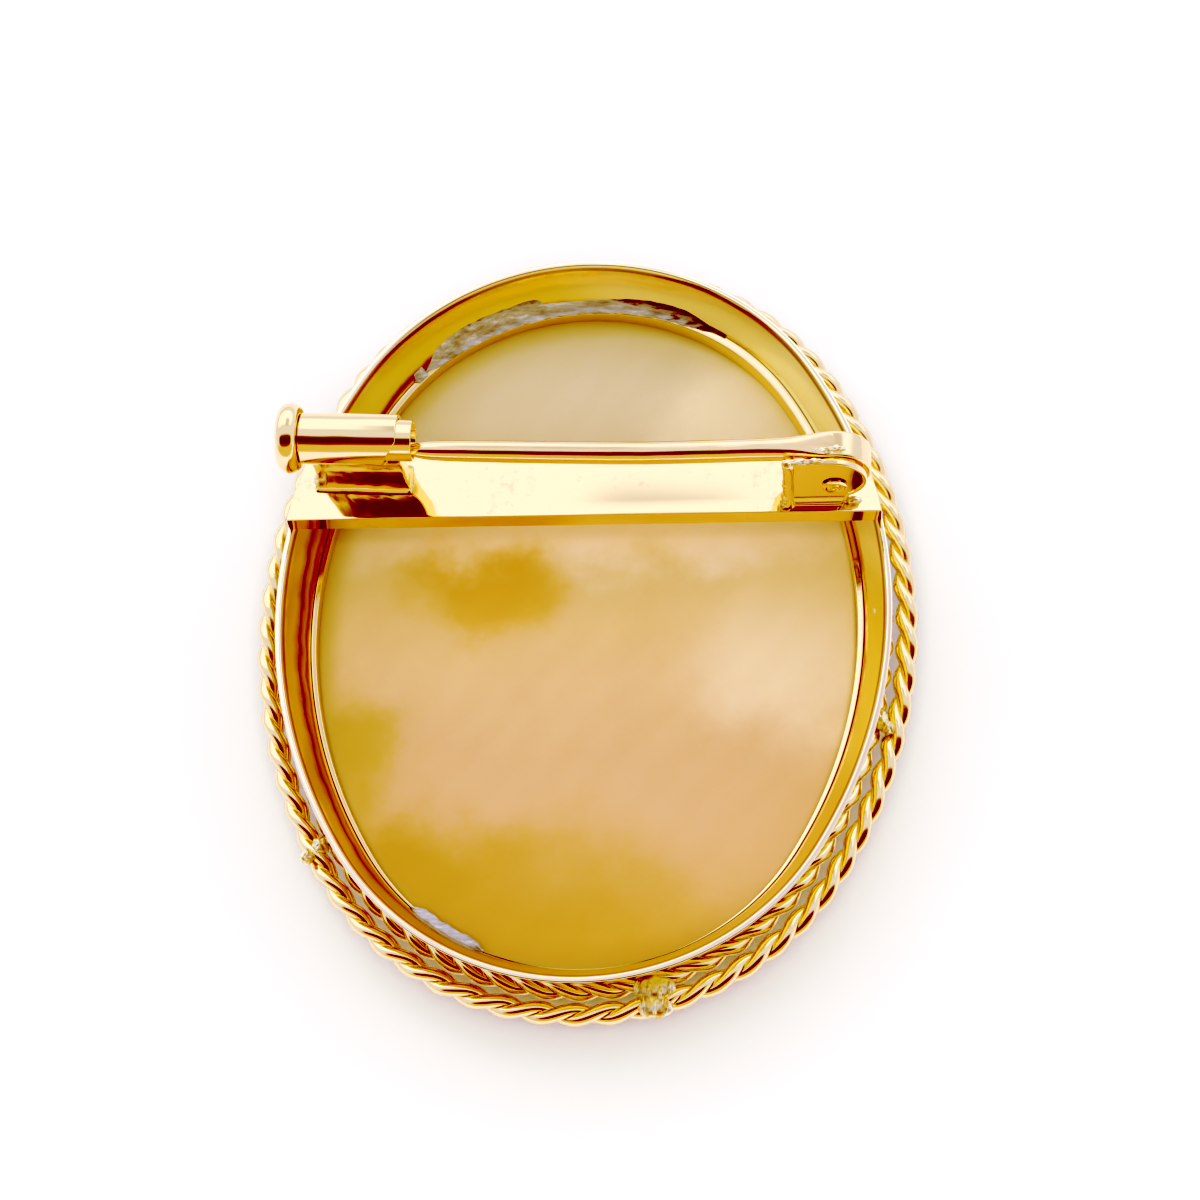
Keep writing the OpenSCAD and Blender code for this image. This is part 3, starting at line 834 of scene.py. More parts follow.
@dataclass(frozen=True)
class Cup:
    """The deep cup that holds the shell: front lip, upright neck and a wall that widens to its rim."""

    oval: Oval
    front_z: float = 1.25
    height: float = 5.3
    flare: float = 1.3
    wall: float = 0.32
    lip: float = 0.28
    lip_w: float = 0.55
    ring_low_z: float = 2.79
    ring_top_z: float = 3.49
    ring_w: float = 0.4
    ring_shift: float = 0.12
    ring_slope: float = 0.09
    ring_close: float = 0.8
    ring_lift: float = 0.5
    lift_turn: float = 42.0
    hollow: float = 0.35
    rim: float = 0.40
    fit_gap: float = 0.03

    @property
    def rim_z(self) -> float:
        """Height of the rim."""
        return self.front_z + self.height

    def wall_off(self, z: float) -> float:
        """Returns the offset of the wall's inner face at a height: steep at its foot, flared at its rim."""
        share = (z - self.ring_top_z) / (self.rim_z - self.ring_top_z)
        return -self.flare * (1 - share) * (1 + self.hollow * share)

    def section(self, _turn: float) -> Outline:
        """Returns the cup's section."""
        inner, low, lip_z = -self.flare, self.front_z, self.front_z + self.lip
        outer = inner + self.wall
        heights = [self.ring_top_z + (self.rim_z - self.ring_top_z) * i / 8 for i in range(1, 8)]
        corners = [(inner - self.lip_w, low, 0.1), (outer, low, 0.2), (outer, self.ring_top_z, 0.4)]
        corners += [(self.wall_off(z) + self.wall, z, 0.0) for z in heights]
        corners += [(self.rim, self.rim_z, 0.16), (0.0, self.rim_z, 0.13)]
        corners += [(self.wall_off(z), z, 0.0) for z in reversed(heights)]
        corners += [(inner, self.ring_top_z, 0.1), (inner, lip_z, 0.02), (inner - self.lip_w, lip_z, 0.1)]
        return rounded(corners)

    def lifted(self, turn: float) -> float:
        """Returns how much higher the ring sits towards its upper right."""
        return self.ring_lift * max(0.0, math.cos(turn - math.radians(self.lift_turn))) ** 3

    def ring_section(self, turn: float) -> Outline:
        """Returns the section of the ring behind the shell, which slopes a little inwards."""
        top = self.ring_top_z + self.lifted(turn)
        high = self.wall_off(top) - self.fit_gap
        down = math.sin(-turn)
        narrowed = 1 - self.ring_close * max(0.0, down) ** 4
        low = -self.flare - (self.ring_w - self.ring_shift * down) * narrowed
        return rounded(
            [
                (low, self.ring_low_z, 0.05),
                (-self.flare - self.fit_gap, self.ring_low_z, 0.02),
                (high, top, 0.02),
                (low + 0.06, top - self.ring_slope * (high - low), 0.09),
            ]
        )

    def build(self, finishes: Finishes) -> None:
        """Builds the cup and its retaining ring."""
        self.oval.band(self.section).piece("cup", finishes.wall, replaced=("frame",), crease=60)
        ring = self.oval.band(self.ring_section)
        ring.piece("retaining_ledge", finishes.ring, replaced=("retaining_ring",), crease=60)


@dataclass(frozen=True)
class Blossom:
    """A blossom: its middle, radius, number of petals and turn in degrees."""

    x: float
    y: float
    radius: float
    petals: int
    turn: float

    def tier(self, r: np.ndarray, angle: np.ndarray, radius: float, turn: float, height: float) -> np.ndarray:
        """Returns the height of one ring of petals, cupped and with a crease along each petal."""
        wave = np.cos(self.petals * (angle - math.radians(turn)) / 2)
        edge = radius * (1 - 0.2 * (1 - np.abs(wave)))
        share = np.clip(r / edge, 0, 1)
        crease = 0.10 * np.exp(-(((1 - np.abs(wave)) / 0.02) ** 2)) * share
        notch = 0.40 * np.exp(-((np.abs(wave) / 0.09) ** 2)) * share
        veins = 0.03 * np.cos(6 * self.petals * (angle - math.radians(turn))) * share
        cupped = 0.55 + 0.45 * share + veins - crease - notch
        return np.where(share < 1, height * cupped * (1 - share**10), 0.0)

    def height(self, x: np.ndarray, y: np.ndarray, relief: float) -> np.ndarray:
        """Returns the blossom's height over the ground: two rings of petals and a round middle."""
        r = np.hypot(x - self.x, y - self.y)
        angle = np.arctan2(y - self.y, x - self.x)
        core = np.clip(r / (0.34 * self.radius), 0, 1)
        seeds = 0.06 * np.cos(r * 26 / self.radius) * np.cos(9 * angle)
        middle = 1.05 * relief * np.sqrt(1 - core**2) * (1 + seeds)
        outer = self.tier(r, angle, self.radius, self.turn, 0.8 * relief)
        inner = self.tier(r, angle, 0.68 * self.radius, self.turn + 36, relief)
        return np.maximum.reduce([outer, inner, np.where(core < 1, middle, 0.0)])


@dataclass(frozen=True)
class Leaf:
    """A leaf: its stalk's end, direction in degrees, length and half width."""

    x: float
    y: float
    direction: float
    length: float
    half_w: float

    def height(self, x: np.ndarray, y: np.ndarray, relief: float) -> np.ndarray:
        """Returns the leaf's height over the ground, with its midrib and side veins."""
        c, s = math.cos(math.radians(self.direction)), math.sin(math.radians(self.direction))
        along = ((x - self.x) * c + (y - self.y) * s) / self.length
        across = ((y - self.y) * c - (x - self.x) * s) / self.half_w
        inside = np.clip(along, 0, 1)
        width = np.sin(np.pi * inside**0.8) * (1 - 0.06 * np.abs(np.sin(13 * np.pi * inside)))
        share = np.clip(np.abs(across) / np.maximum(width, 1e-6), 0, 1)
        midrib = 0.25 * (1 - np.minimum(1, 4 * np.abs(across)))
        veins = 0.07 * np.maximum(0, np.cos(2 * np.pi * (7 * along - 1.4 * np.abs(across)))) ** 6
        return np.where(share < 1, 0.55 * relief * np.sqrt(1 - share**2) * (1 - midrib - veins), 0.0)


@dataclass(frozen=True)
class CameoShell:
    """The shell plate: flat behind, and carved in front with blossoms and leaves on a domed ground."""

    oval: Oval
    off: float = -1.33
    back_z: float = 2.76
    front_z: float = 1.56
    edge_share: float = 0.955
    step: float = 0.1
    dome: float = 0.6
    relief: float = 1.2
    full: float = 1.1
    rings: int = 150
    sides: int = 360
    blossoms: tuple[Blossom, ...] = (
        Blossom(0.33, 2.99, 6.24, 5, 10),
        Blossom(-6.57, -6.84, 4.43, 5, 40),
        Blossom(6.90, -5.56, 4.11, 5, 75),
        Blossom(1.64, 13.25, 2.96, 5, 0),
        Blossom(0.33, -12.82, 2.79, 5, 20),
    )
    leaves: tuple[Leaf, ...] = (
        Leaf(-4.27, 7.69, 128, 8.54, 2.13),
        Leaf(5.25, 7.69, 52, 8.21, 2.13),
        Leaf(-5.91, 1.71, 172, 6.90, 1.97),
        Leaf(6.90, 1.28, 8, 6.24, 1.97),
        Leaf(-2.63, -9.40, 246, 8.54, 1.97),
        Leaf(3.61, -8.98, 296, 8.87, 1.97),
        Leaf(-8.54, -11.11, 222, 4.27, 1.64),
        Leaf(9.20, -9.40, 318, 3.94, 1.64),
    )

    def front(self, x: np.ndarray, y: np.ndarray, share: float) -> np.ndarray:
        """Returns the height of the front at points and their share of the way out."""
        if share >= self.edge_share:
            return np.full_like(x, self.front_z)
        ground = self.front_z - self.step - self.dome * (1 - (share / self.edge_share) ** 2)
        carved = np.maximum.reduce([p.height(x, y, self.relief) for p in (*self.blossoms, *self.leaves)])
        # The blossoms' middles reach the table, whatever is left of the ground over them.
        return ground * np.maximum(0.0, 1 - carved / (self.full * self.relief))

    def build(self, finishes: Finishes) -> None:
        """Builds the plate as one closed form, from the middle of its back to that of its front."""
        turns = [self.oval.angle_at(self.off, j / self.sides) for j in range(self.sides)]
        outline = np.array([self.oval.point(self.off, turn, 0.0)[:2] for turn in turns])
        # Share of the way out and depth of each loop of the back and its chamfer
        behind = ((0.02, 0.0), (0.6, 0.0), (0.99, 0.0), (0.998, 0.03), (1.0, 0.12))
        rows = [[(share * x, share * y, self.back_z - depth) for x, y in outline] for share, depth in behind]
        for share in [1.0, 0.975] + [self.edge_share * (1 - i / self.rings) for i in range(self.rings)]:
            places = outline * share
            heights = self.front(places[:, 0], places[:, 1], share)
            rows.append([tuple(p) for p in np.column_stack([places, heights])])
        centre = np.zeros(1)
        tip = float(self.front(centre, centre, 0.0)[0])
        form = loft(rows, ((0.0, 0.0, self.back_z), (0.0, 0.0, tip)))
        form.piece("carved_shell", finishes.shell, slot=Slot.SHELL, replaced=("cameo",), crease=70)


@dataclass(frozen=True)
class Smear:
    """One smear of cement between two normal angles, in degrees.

    Args:
        start: First angle.
        end: Last angle.
        over: How far it reaches in over the ring.
        up: How far it climbs the wall.
        phase: Where its uneven edges start.
    """

    start: float
    end: float
    over: float
    up: float
    phase: float

    def reach_and_climb(self, share: float) -> tuple[float, float]:
        """Returns how far it reaches over the ring and up the wall at a share of its length."""
        angle = self.start + (self.end - self.start) * share
        end_share = min(1.0, 6 * share, 6 * (1 - share))
        fade = end_share * end_share * (3 - 2 * end_share)
        slow = 0.5 + 0.3 * math.sin(0.11 * angle + self.phase) + 0.2 * math.sin(0.23 * angle + 2 * self.phase)
        fast = 0.5 + 0.3 * math.sin(1.3 * angle + 3 * self.phase) + 0.2 * math.sin(2.1 * angle)
        reach = self.over * math.sqrt(fade) * (0.82 + 0.18 * fast)
        return reach, self.up * fade * (0.55 + 0.4 * slow + 0.05 * fast)


@dataclass(frozen=True)
class CementBed:
    """Cement pressed over the ring and against the wall."""

    oval: Oval
    cup: Cup
    steps: int = 220
    smears: tuple[Smear, ...] = (
        Smear(55, 134, 0.52, 0.85, 1.3),
        Smear(98, 136, 0.45, 1.4, 2.3),
        Smear(135, 139, 0.35, 0.9, 2.0),
        Smear(228, 248, 0.55, 0.35, 2.1),
    )
    # Share of the climb, share of the reach and thickness, from the top of the wall inwards
    section: tuple[Place, ...] = (
        (1.0, 0.0, 0.0),
        (0.75, 0.0, 0.05),
        (0.45, 0.0, 0.09),
        (0.12, 0.10, 0.10),
        (0.0, 0.35, 0.12),
        (0.0, 0.65, 0.10),
        (0.0, 0.9, 0.05),
        (0.0, 1.0, -0.02),
    )

    def form(self, smear: Smear) -> Form:
        """Returns one smear's form."""
        points = []
        for share in (i / (self.steps - 1) for i in range(self.steps)):
            turn = math.radians(smear.start + (smear.end - smear.start) * share)
            reach, climb = smear.reach_and_climb(share)
            floor = self.cup.ring_top_z + self.cup.lifted(turn)
            for rise, inward, thick in self.section:
                z = floor + climb * rise
                off = self.cup.wall_off(z) - inward * reach - (thick if rise else 0.0)
                points.append(tuple(self.oval.point(off, turn, z + (thick if inward else 0.0))))
        return Form(points, grid_faces(self.steps, len(self.section), False, False))

    def build(self, finishes: Finishes) -> None:
        """Builds the smears at the upper end and at the lower left as one piece."""
        form = Form()
        for smear in self.smears:
            form.add(self.form(smear))
        form.piece("cement", finishes.cement, slot=Slot.SHELL, crease=80)


@dataclass(frozen=True)
class CrossPlate:
    """The flat bar across the rim that carries hinge and catch."""

    oval: Oval
    cup: Cup
    width: float = 4.6
    thick: float = 1.15
    low_y: float = 4.9
    inset: float = 0.05
    edge: float = 0.07
    dish: float = 0.07
    dish_w: float = 1.2

    @property
    def top_z(self) -> float:
        """Height of the plate's face."""
        return self.cup.rim_z + self.thick

    def end_x(self, y: float) -> float:
        """Returns how far out the plate reaches at y, where its ends follow the rim."""
        radius = self.oval.side_r + self.cup.wall - self.inset
        return math.sqrt(radius**2 - y * y) - self.oval.side_shift

    def build(self, finishes: Finishes) -> None:
        """Builds the plate, which is a little dished towards its near edge from the work on it."""
        near, far, low = self.low_y, self.low_y + self.width, self.cup.rim_z - 0.05
        corners = [(near, low, 0.0), (far, low, 0.0), (far, self.top_z, self.edge)]
        for share in (i / 6 for i in range(6, 0, -1)):
            corners.append((near + self.dish_w * share, self.top_z + self.dish * (1 - share) ** 2, 0.0))
        corners.append((near, self.top_z + self.dish, self.edge))
        section = rounded(corners)
        rows = []
        for side, depth in ((-1, self.edge), (-1, 0.0), (1, 0.0), (1, self.edge)):
            back = 0.0 if depth else self.edge
            rows.append([(side * (self.end_x(y) - back), y, z) for y, z in inset(section, depth)])
        loft(rows).piece("cross_plate", finishes.plate, replaced=("frame",))


@dataclass(frozen=True)
class Catch:
    """Safety catch: a fixed barrel on a foot, and a tube with a pull knob that slides in it."""

    plate_z: float
    pin_y: float = 7.05
    off: float = 0.4
    mouth_x: float = -10.25
    rise: float = 5.1
    turn: float = 2.5
    barrel_r: float = 1.5
    barrel_len: float = 5.65
    bore_r: float = 1.26
    bevel_len: float = 0.95
    bevel_turn: float = 58.0
    bevel_depth: float = 1.5
    tube_r: float = 1.2
    tube_wall: float = 0.2
    tube_out: float = 0.85
    slide_gap: float = 0.06
    knob_r: float = 2.045
    knob_t: float = 1.25
    foot_len: float = 5.5

    def place(self, rise: float) -> Matrix:
        """Places a form on the barrel's line, at a height over the plate."""
        move = Matrix.Translation((self.mouth_x, self.pin_y + self.off, self.plate_z + rise))
        return move @ Matrix.Rotation(math.radians(-self.turn), 4, "Z")

    def barrel(self) -> Form:
        """Returns the barrel: a tube whose mouth is cut back on the near side."""
        corners = [(self.bore_r, 0.0, 0.05), (self.barrel_r, 0.0, 0.07)]
        corners += [(self.barrel_r, self.barrel_len, 0.06), (self.bore_r, self.barrel_len, 0.04)]
        whole = hoop(rounded(corners, 3))
        toward = math.radians(self.bevel_turn) + math.pi
        slope = self.bevel_len / self.barrel_r
        points = []
        for x, y, height in whole.points:
            cut = max(0.0, slope * (x * math.cos(toward) + y * math.sin(toward)))
            points.append((x, y, height + cut * max(0.0, 1 - height / self.bevel_depth)))
        return Form(points, whole.faces)

    def slider(self) -> Form:
        """Returns the sliding tube with its knob."""
        bore, outer, mouth = self.tube_r - self.tube_wall, self.tube_r, -self.tube_out
        knob = self.barrel_len + self.slide_gap
        tube = [(bore, knob), (bore, mouth + 0.05), (bore + 0.05, mouth), (outer - 0.05, mouth)]
        tube += [(outer, mouth + 0.05), (outer, knob)]
        # How far each point of the knob is inside its radius, and how far behind its near face
        bulge = [(0.42, 0.0), (0.30, 0.03), (0.16, 0.14), (0.05, 0.30), (0.0, 0.50), (0.0, 0.72)]
        bulge += [(0.05, 0.92), (0.17, 1.10), (0.38, 1.23), (0.75, 1.30), (1.3, 1.34)]
        profile = tube + [(self.knob_r - inward, knob + behind) for inward, behind in bulge]
        profile.append((0.0, knob + self.knob_t + 0.1))
        return lathe(profile).add(lathe([(0.0, knob), (bore, knob)]))

    def foot(self) -> Form:
        """Returns the waisted foot under the barrel, with its fillet of solder on the plate."""
        top = self.rise - self.barrel_r + 0.35
        # Height, half width and how much longer the foot is at each end
        sections = ((0.0, 0.98, 0.16), (0.10, 0.82, 0.08), (0.35, 0.70, 0.02), (0.9, 0.60, -0.05))
        sections += ((0.5 * top, 0.55, -0.08), (0.72 * top, 0.58, -0.05), (0.88 * top, 0.78, 0.0))
        sections += ((top, 1.05, 0.0),)
        rows = []
        for z, half, grow in sections:
            left, right = -self.foot_len - grow, grow
            corners = [(right, -half, 0.25), (right, half, 0.25), (left, half, 0.25), (left, -half, 0.25)]
            rows.append([(x, y, z) for x, y in rounded(corners)])
        return loft(rows)

    def build(self, finishes: Finishes) -> None:
        """Builds barrel, foot, solder drop and slider."""
        lying = self.place(self.rise) @ Matrix.Rotation(math.radians(-90), 4, "Y")
        standing = self.place(0.0)
        drop = Lump(-self.foot_len + 0.30, -0.62, 0.95, 0.42, 0.36, 0.66, 0.04).form()
        self.barrel().moved(lying).piece("catch_barrel", finishes.fitting, replaced=("frame",))
        self.foot().moved(standing).piece("catch_foot", finishes.soldered, replaced=("frame",))
        drop.moved(standing).piece("solder_drop", finishes.solder, replaced=("frame",), crease=80)
        slider = self.slider().moved(lying)
        slider.piece("catch_tube", finishes.fitting, Body.CATCH, replaced=("catch_slider",))


@dataclass(frozen=True)
class Hinge:
    """Hinge of the pin: cheek plate with a round end, post, collar and rivet."""

    plate_z: float
    x: float = 14.8
    rise: float = 2.45
    eye_y: float = 6.2
    eye_w: float = 1.7
    gap: float = 0.06
    rivet_r: float = 0.42
    head_r: float = 0.72
    head_t: float = 0.14
    cheek_len: float = 4.5
    cheek_h: float = 5.25
    cheek_t: float = 0.4
    cheek_end: float = 1.85
    cheek_r: float = 2.2
    cheek_foot: float = 0.72
    cheek_edge: float = 0.09
    cheek_sunk: float = 0.09
    seat: float = 0.03
    collar_r: float = 1.3
    collar_t: float = 0.4

    @property
    def z(self) -> float:
        """Height of the rivet."""
        return self.plate_z + self.rise

    @property
    def cheek_y(self) -> float:
        """Near face of the cheek plate."""
        return self.eye_y - self.gap - self.collar_t - self.cheek_t

    @property
    def left(self) -> float:
        """Straight end of the cheek plate."""
        return self.x + self.cheek_end - self.cheek_len

    def on_axis(self, y: float) -> Matrix:
        """Places a form drawn along +Z so that it runs along +Y from y on the rivet's axis."""
        return Matrix.Translation((self.x, y, self.z)) @ Matrix.Rotation(math.radians(-90), 4, "X")

    def cheek(self) -> Form:
        """Returns the cheek plate: straight at the post, round at the other end."""
        low, top = self.plate_z - self.seat, self.plate_z + self.cheek_h
        centre_x, centre_z = self.left + self.cheek_len - self.cheek_r, top - self.cheek_r
        outline = [(self.left, low), (self.left + self.cheek_foot * self.cheek_len, low)]
        for turn in np.radians(np.arange(-56, 91, 5.6)):
            out, up = self.cheek_r * math.cos(turn), self.cheek_r * math.sin(turn)
            outline.append((centre_x + out, centre_z + up))
        outline.append((self.left, top))
        stand = Matrix.Rotation(math.radians(90), 4, "X")
        back = Matrix.Translation((0, self.cheek_y + self.cheek_t, 0))
        return slab(outline, self.cheek_t, self.cheek_edge, self.cheek_sunk).moved(back @ stand)

    def post(self) -> Form:
        """Returns the post at the cheek plate's straight end, a little uneven."""
        profile = [(0.46, 0.0), (0.38, 0.3), (0.33, 0.9), (0.35, 2.0), (0.32, 3.4), (0.35, 4.6)]
        profile += [(0.33, 5.05), (0.2, 5.22), (0.0, 5.25)]
        move = Matrix.Translation((self.left, self.cheek_y + self.cheek_t / 2, self.plate_z))
        return lathe(profile, 32).moved(move)

    def collar(self) -> Form:
        """Returns the collar between cheek plate and eye."""
        hole, thick = self.rivet_r + 0.03, self.collar_t
        form = lathe([(hole, 0.0), (self.collar_r, 0.0), (self.collar_r, thick), (hole, thick)])
        return form.moved(self.on_axis(self.cheek_y + self.cheek_t))

    def rivet(self) -> Form:
        """Returns the rivet, whose near head has a groove and whose far head is plain."""
        length = self.eye_y + self.eye_w + 2 * self.gap - self.cheek_y
        # Radius of each point of the near head, and its height as a share of the head's thickness
        head = ((0.0, 0.7), (0.16, 0.75), (0.2, 1.1), (0.34, 1.1), (0.39, 0.7), (0.46, 0.7), (0.52, 1.0))
        head += ((0.6, 0.95), (self.head_r, 0.2))
        profile = [(radius, -share * self.head_t) for radius, share in head]
        profile += [(self.head_r, -0.03), (self.rivet_r, -0.03), (self.rivet_r, length - 0.06)]
        profile += [(self.head_r, length - 0.06), (self.head_r, length), (0.5, length + 0.07)]
        profile.append((0.0, length + 0.08))
        return lathe(profile, 48).moved(self.on_axis(self.cheek_y))

    def build(self, finishes: Finishes) -> None:
        """Builds cheek plate, post, collar and rivet."""
        self.cheek().piece("hinge_cheek", finishes.fitting, replaced=("frame",))
        self.post().piece("hinge_post", finishes.soldered, replaced=("frame",), crease=70)
        self.collar().piece("hinge_collar", finishes.fitting, replaced=("frame",), crease=40)
        self.rivet().piece("rivet", finishes.fitting, replaced=("hinge_rivet",), crease=60)


@dataclass(frozen=True)
class Pin:
    """The pin: a broad eye on the rivet, a flat root and a slightly bowed round stem."""

    hinge: Hinge
    y: float = 7.05
    eye_r: float = 2.15
    stem_r: float = 0.66
    sag: float = 0.2
    sag_x: float = 11.2
    tip_x: float = -10.2
    tip_lift: float = 0.72
    root_x: float = 9.0
    # Place along the pin and radius of its round part
    shank: Curve = (
        (-10.2, 0.05), (-10.12, 0.14), (-9.9, 0.24), (-9.5, 0.36), (-9.1, 0.46), (-8.6, 0.54), (-7.8, 0.59),
        (-6.5, 0.62), (-4.0, 0.645), (-1.0, 0.655), (2.0, 0.66), (4.0, 0.66), (6.0, 0.66), (8.0, 0.66),
    )
    # Place along the pin, half width across it, half thickness and squareness of its root
    root: tuple[tuple[float, float, float, float], ...] = (
        (10.4, 0.66, 0.65, 2.0), (11.4, 0.67, 0.63, 2.1), (12.2, 0.69, 0.60, 2.2), (12.9, 0.73, 0.54, 2.6),
        (13.5, 0.79, 0.46, 3.2), (14.0, 0.83, 0.40, 4.0), (14.5, 0.85, 0.34, 5.0), (14.8, 0.85, 0.30, 5.0),
    )

    def centre_z(self, x: float) -> float:
        """Returns the height of the round stem's axis at x."""
        top = self.hinge.z + self.eye_r - self.stem_r
        low_x = self.hinge.x - self.sag_x
        if x > low_x:
            share = (self.hinge.x - x) / self.sag_x
            return top - self.sag * share * share * (3 - 2 * share)
        share = (low_x - x) / (low_x - self.tip_x)
        return top - self.sag + (self.sag + self.tip_lift) * share**1.15

    def stem(self) -> Form:
        """Returns the stem: a point, a round middle and a root that broadens into the eye's band."""
        rows = []
        for x, wide, thick, power in [(x, r, r, 2.0) for x, r in self.shank] + list(self.root):
            # The root stays level with the top of the full stem as it grows thinner.
            middle = self.centre_z(x) + (self.stem_r - thick if x > self.root_x else 0.0)
            row = []
            for c, s in around(32):
                y = math.copysign(abs(c) ** (2 / power), c)
                z = math.copysign(abs(s) ** (2 / power), s)
                row.append((x, self.y + wide * y, middle + thick * z))
            rows.append(row)
        return loft(rows)

    def disc(self) -> Form:
        """Returns the round eye with its hole and rounded edges."""
        half, hole = self.hinge.eye_w / 2, self.hinge.rivet_r + 0.06
        corners = [(hole, -half, 0.04), (self.eye_r, -half, 0.22)]
        corners += [(self.eye_r, half, 0.22), (hole, half, 0.04)]
        return hoop(rounded(corners, 5)).moved(self.hinge.on_axis(self.y))

    def build(self, finishes: Finishes) -> None:
        """Builds stem and eye."""
        self.stem().piece("pin_wire", finishes.pin, Body.PIN, replaced=("pin_stem",), crease=60)
        self.disc().piece("pin_eye", finishes.pin, Body.PIN, replaced=("pin_stem",), crease=60)


@dataclass(frozen=True)
class RopeBorder:
    """Two ropes of two round wires each, laid side by side with opposite twists."""

    oval: Oval
    cup: Cup
    rope_r: float = 0.7
    wire_r: float = 0.41
    trim: float = 0.02
    turns: int = 34
    rise: float = 2.1
    cup_gap: float = 0.1
    rope_gap: float = 0.05
    rings_per_turn: int = 24
    sides: int = 12

    @property
    def inner_off(self) -> float:
        """Offset of the inner rope's axis."""
        return -self.cup.flare + self.cup.wall + self.cup_gap + self.rope_r

    @property
    def outer_off(self) -> float:
        """Offset of the outer rope's axis."""
        return self.inner_off + 2 * self.rope_r + self.rope_gap

    def strand(self, off: float, hand: int, phase: float) -> Form:
        """Builds one wire along its helix.

        Args:
            off: Offset of the rope's axis.
            hand: 1 for a right-handed rope, -1 for a left-handed one.
            phase: Where the wire starts round the axis, in radians.

        Returns:
            The wire's form.
        """
        count = self.turns * self.rings_per_turn
        reach = self.rope_r - self.wire_r - self.trim
        up = np.array([0.0, 0.0, 1.0])
        centres = []
        for k in range(count):
            turn = self.oval.angle_at(off, k / count)
            twist = hand * 2 * math.pi * k / self.rings_per_turn + phase
            out = np.array([math.cos(turn), math.sin(turn), 0.0])
            axis = self.oval.point(off, turn, self.cup.front_z + self.rise)
            centres.append(axis + reach * (math.cos(twist) * out + math.sin(twist) * up))
        places = np.array(centres)
        along = np.roll(places, -1, 0) - np.roll(places, 1, 0)
        side = np.cross(along, up)
        side /= np.linalg.norm(side, axis=1)[:, None]
        over = np.cross(side, along)
        over /= np.linalg.norm(over, axis=1)[:, None]
        loops = [places + self.wire_r * (c * over + s * side) for c, s in around(self.sides)]
        points = [tuple(p) for p in np.stack(loops, axis=1).reshape(-1, 3)]
        return Form(points, grid_faces(count, self.sides, True, True))

    def build(self, finishes: Finishes) -> None:
        """Builds the four strands."""
        for name, off, hand in (("rope_outer", self.outer_off, 1), ("rope_inner", self.inner_off, -1)):
            for letter, phase in (("a", 0.0), ("b", math.pi)):
                self.strand(off, hand, phase).piece(
                    f"{name}_wire_{letter}", finishes.wire, replaced=(f"{name}_{letter}",), crease=80
                )


@dataclass(frozen=True)
class SolderJoints:
    """Lumps of solder where the ropes are joined to the cup and to each other, and on the hinge."""

    rope_lumps: tuple[Lump, ...] = (
        Lump(4.40, -22.50, 3.72, 1.15, 0.80, 0.42, 0.06),
        Lump(4.35, -23.55, 3.72, 1.00, 0.75, 0.44, 0.06),
        Lump(3.30, -22.60, 4.00, 0.16, 0.42, 0.20, 0.12),
        Lump(3.72, -23.55, 4.05, 0.15, 0.50, 0.22, 0.12),
        Lump(4.02, -22.75, 4.08, 0.17, 0.48, 0.22, 0.14),
        Lump(4.34, -23.70, 4.08, 0.14, 0.52, 0.20, 0.12),
        Lump(4.62, -23.00, 4.08, 0.16, 0.44, 0.22, 0.14),
        Lump(4.95, -23.65, 4.02, 0.15, 0.46, 0.22, 0.12),
        Lump(5.15, -22.60, 4.00, 0.16, 0.40, 0.22, 0.12),
        Lump(17.35, -6.60, 3.75, 0.40, 0.70, 0.46, 0.12),
        Lump(17.70, -7.20, 3.90, 0.36, 0.40, 0.36, 0.14),
        Lump(-15.05, -14.05, 3.75, 0.50, 0.55, 0.46, 0.12),
        Lump(-15.75, -14.75, 3.85, 0.42, 0.44, 0.40, 0.12),
    )
    wall_lumps: tuple[Lump, ...] = (
        Lump(17.14, -0.32, 5.20, 0.16, 0.26, 0.10, 0.1),
        Lump(16.98, -4.35, 5.20, 0.16, 0.24, 0.10, 0.1),
    )
    hinge_lumps: tuple[Lump, ...] = (
        Lump(12.10, 5.48, 7.92, 0.46, 0.34, 0.30, 0.12),
        Lump(12.02, 5.46, 8.65, 0.30, 0.28, 0.50, 0.14),
        Lump(12.12, 5.50, 10.30, 0.36, 0.26, 0.55, 0.10),
        Lump(12.10, 5.50, 12.70, 0.36, 0.28, 0.30, 0.12),
        Lump(12.75, 5.56, 12.90, 0.50, 0.20, 0.16, 0.16),
        Lump(13.70, 5.56, 12.93, 0.55, 0.19, 0.12, 0.16),
        Lump(15.95, 5.52, 7.95, 0.45, 0.24, 0.30, 0.12),
    )
    pin_lumps: tuple[Lump, ...] = (
        Lump(14.35, 6.62, 12.22, 0.42, 0.26, 0.13, 0.2),
        Lump(14.95, 6.70, 12.24, 0.45, 0.22, 0.12, 0.2),
        Lump(13.70, 6.66, 12.16, 0.35, 0.20, 0.14, 0.2),
    )

    def build(self, finishes: Finishes) -> None:
        """Builds the lumps of each place as one piece."""
        for name, lumps, body in (
            ("rope_solder", self.rope_lumps, Body.BROOCH),
            ("wall_solder", self.wall_lumps, Body.BROOCH),
            ("hinge_solder", self.hinge_lumps, Body.BROOCH),
            ("pin_solder", self.pin_lumps, Body.PIN),
        ):
            form = Form()
            for lump in lumps:
                form.add(lump.form())
            form.piece(name, finishes.solder, body, crease=80)


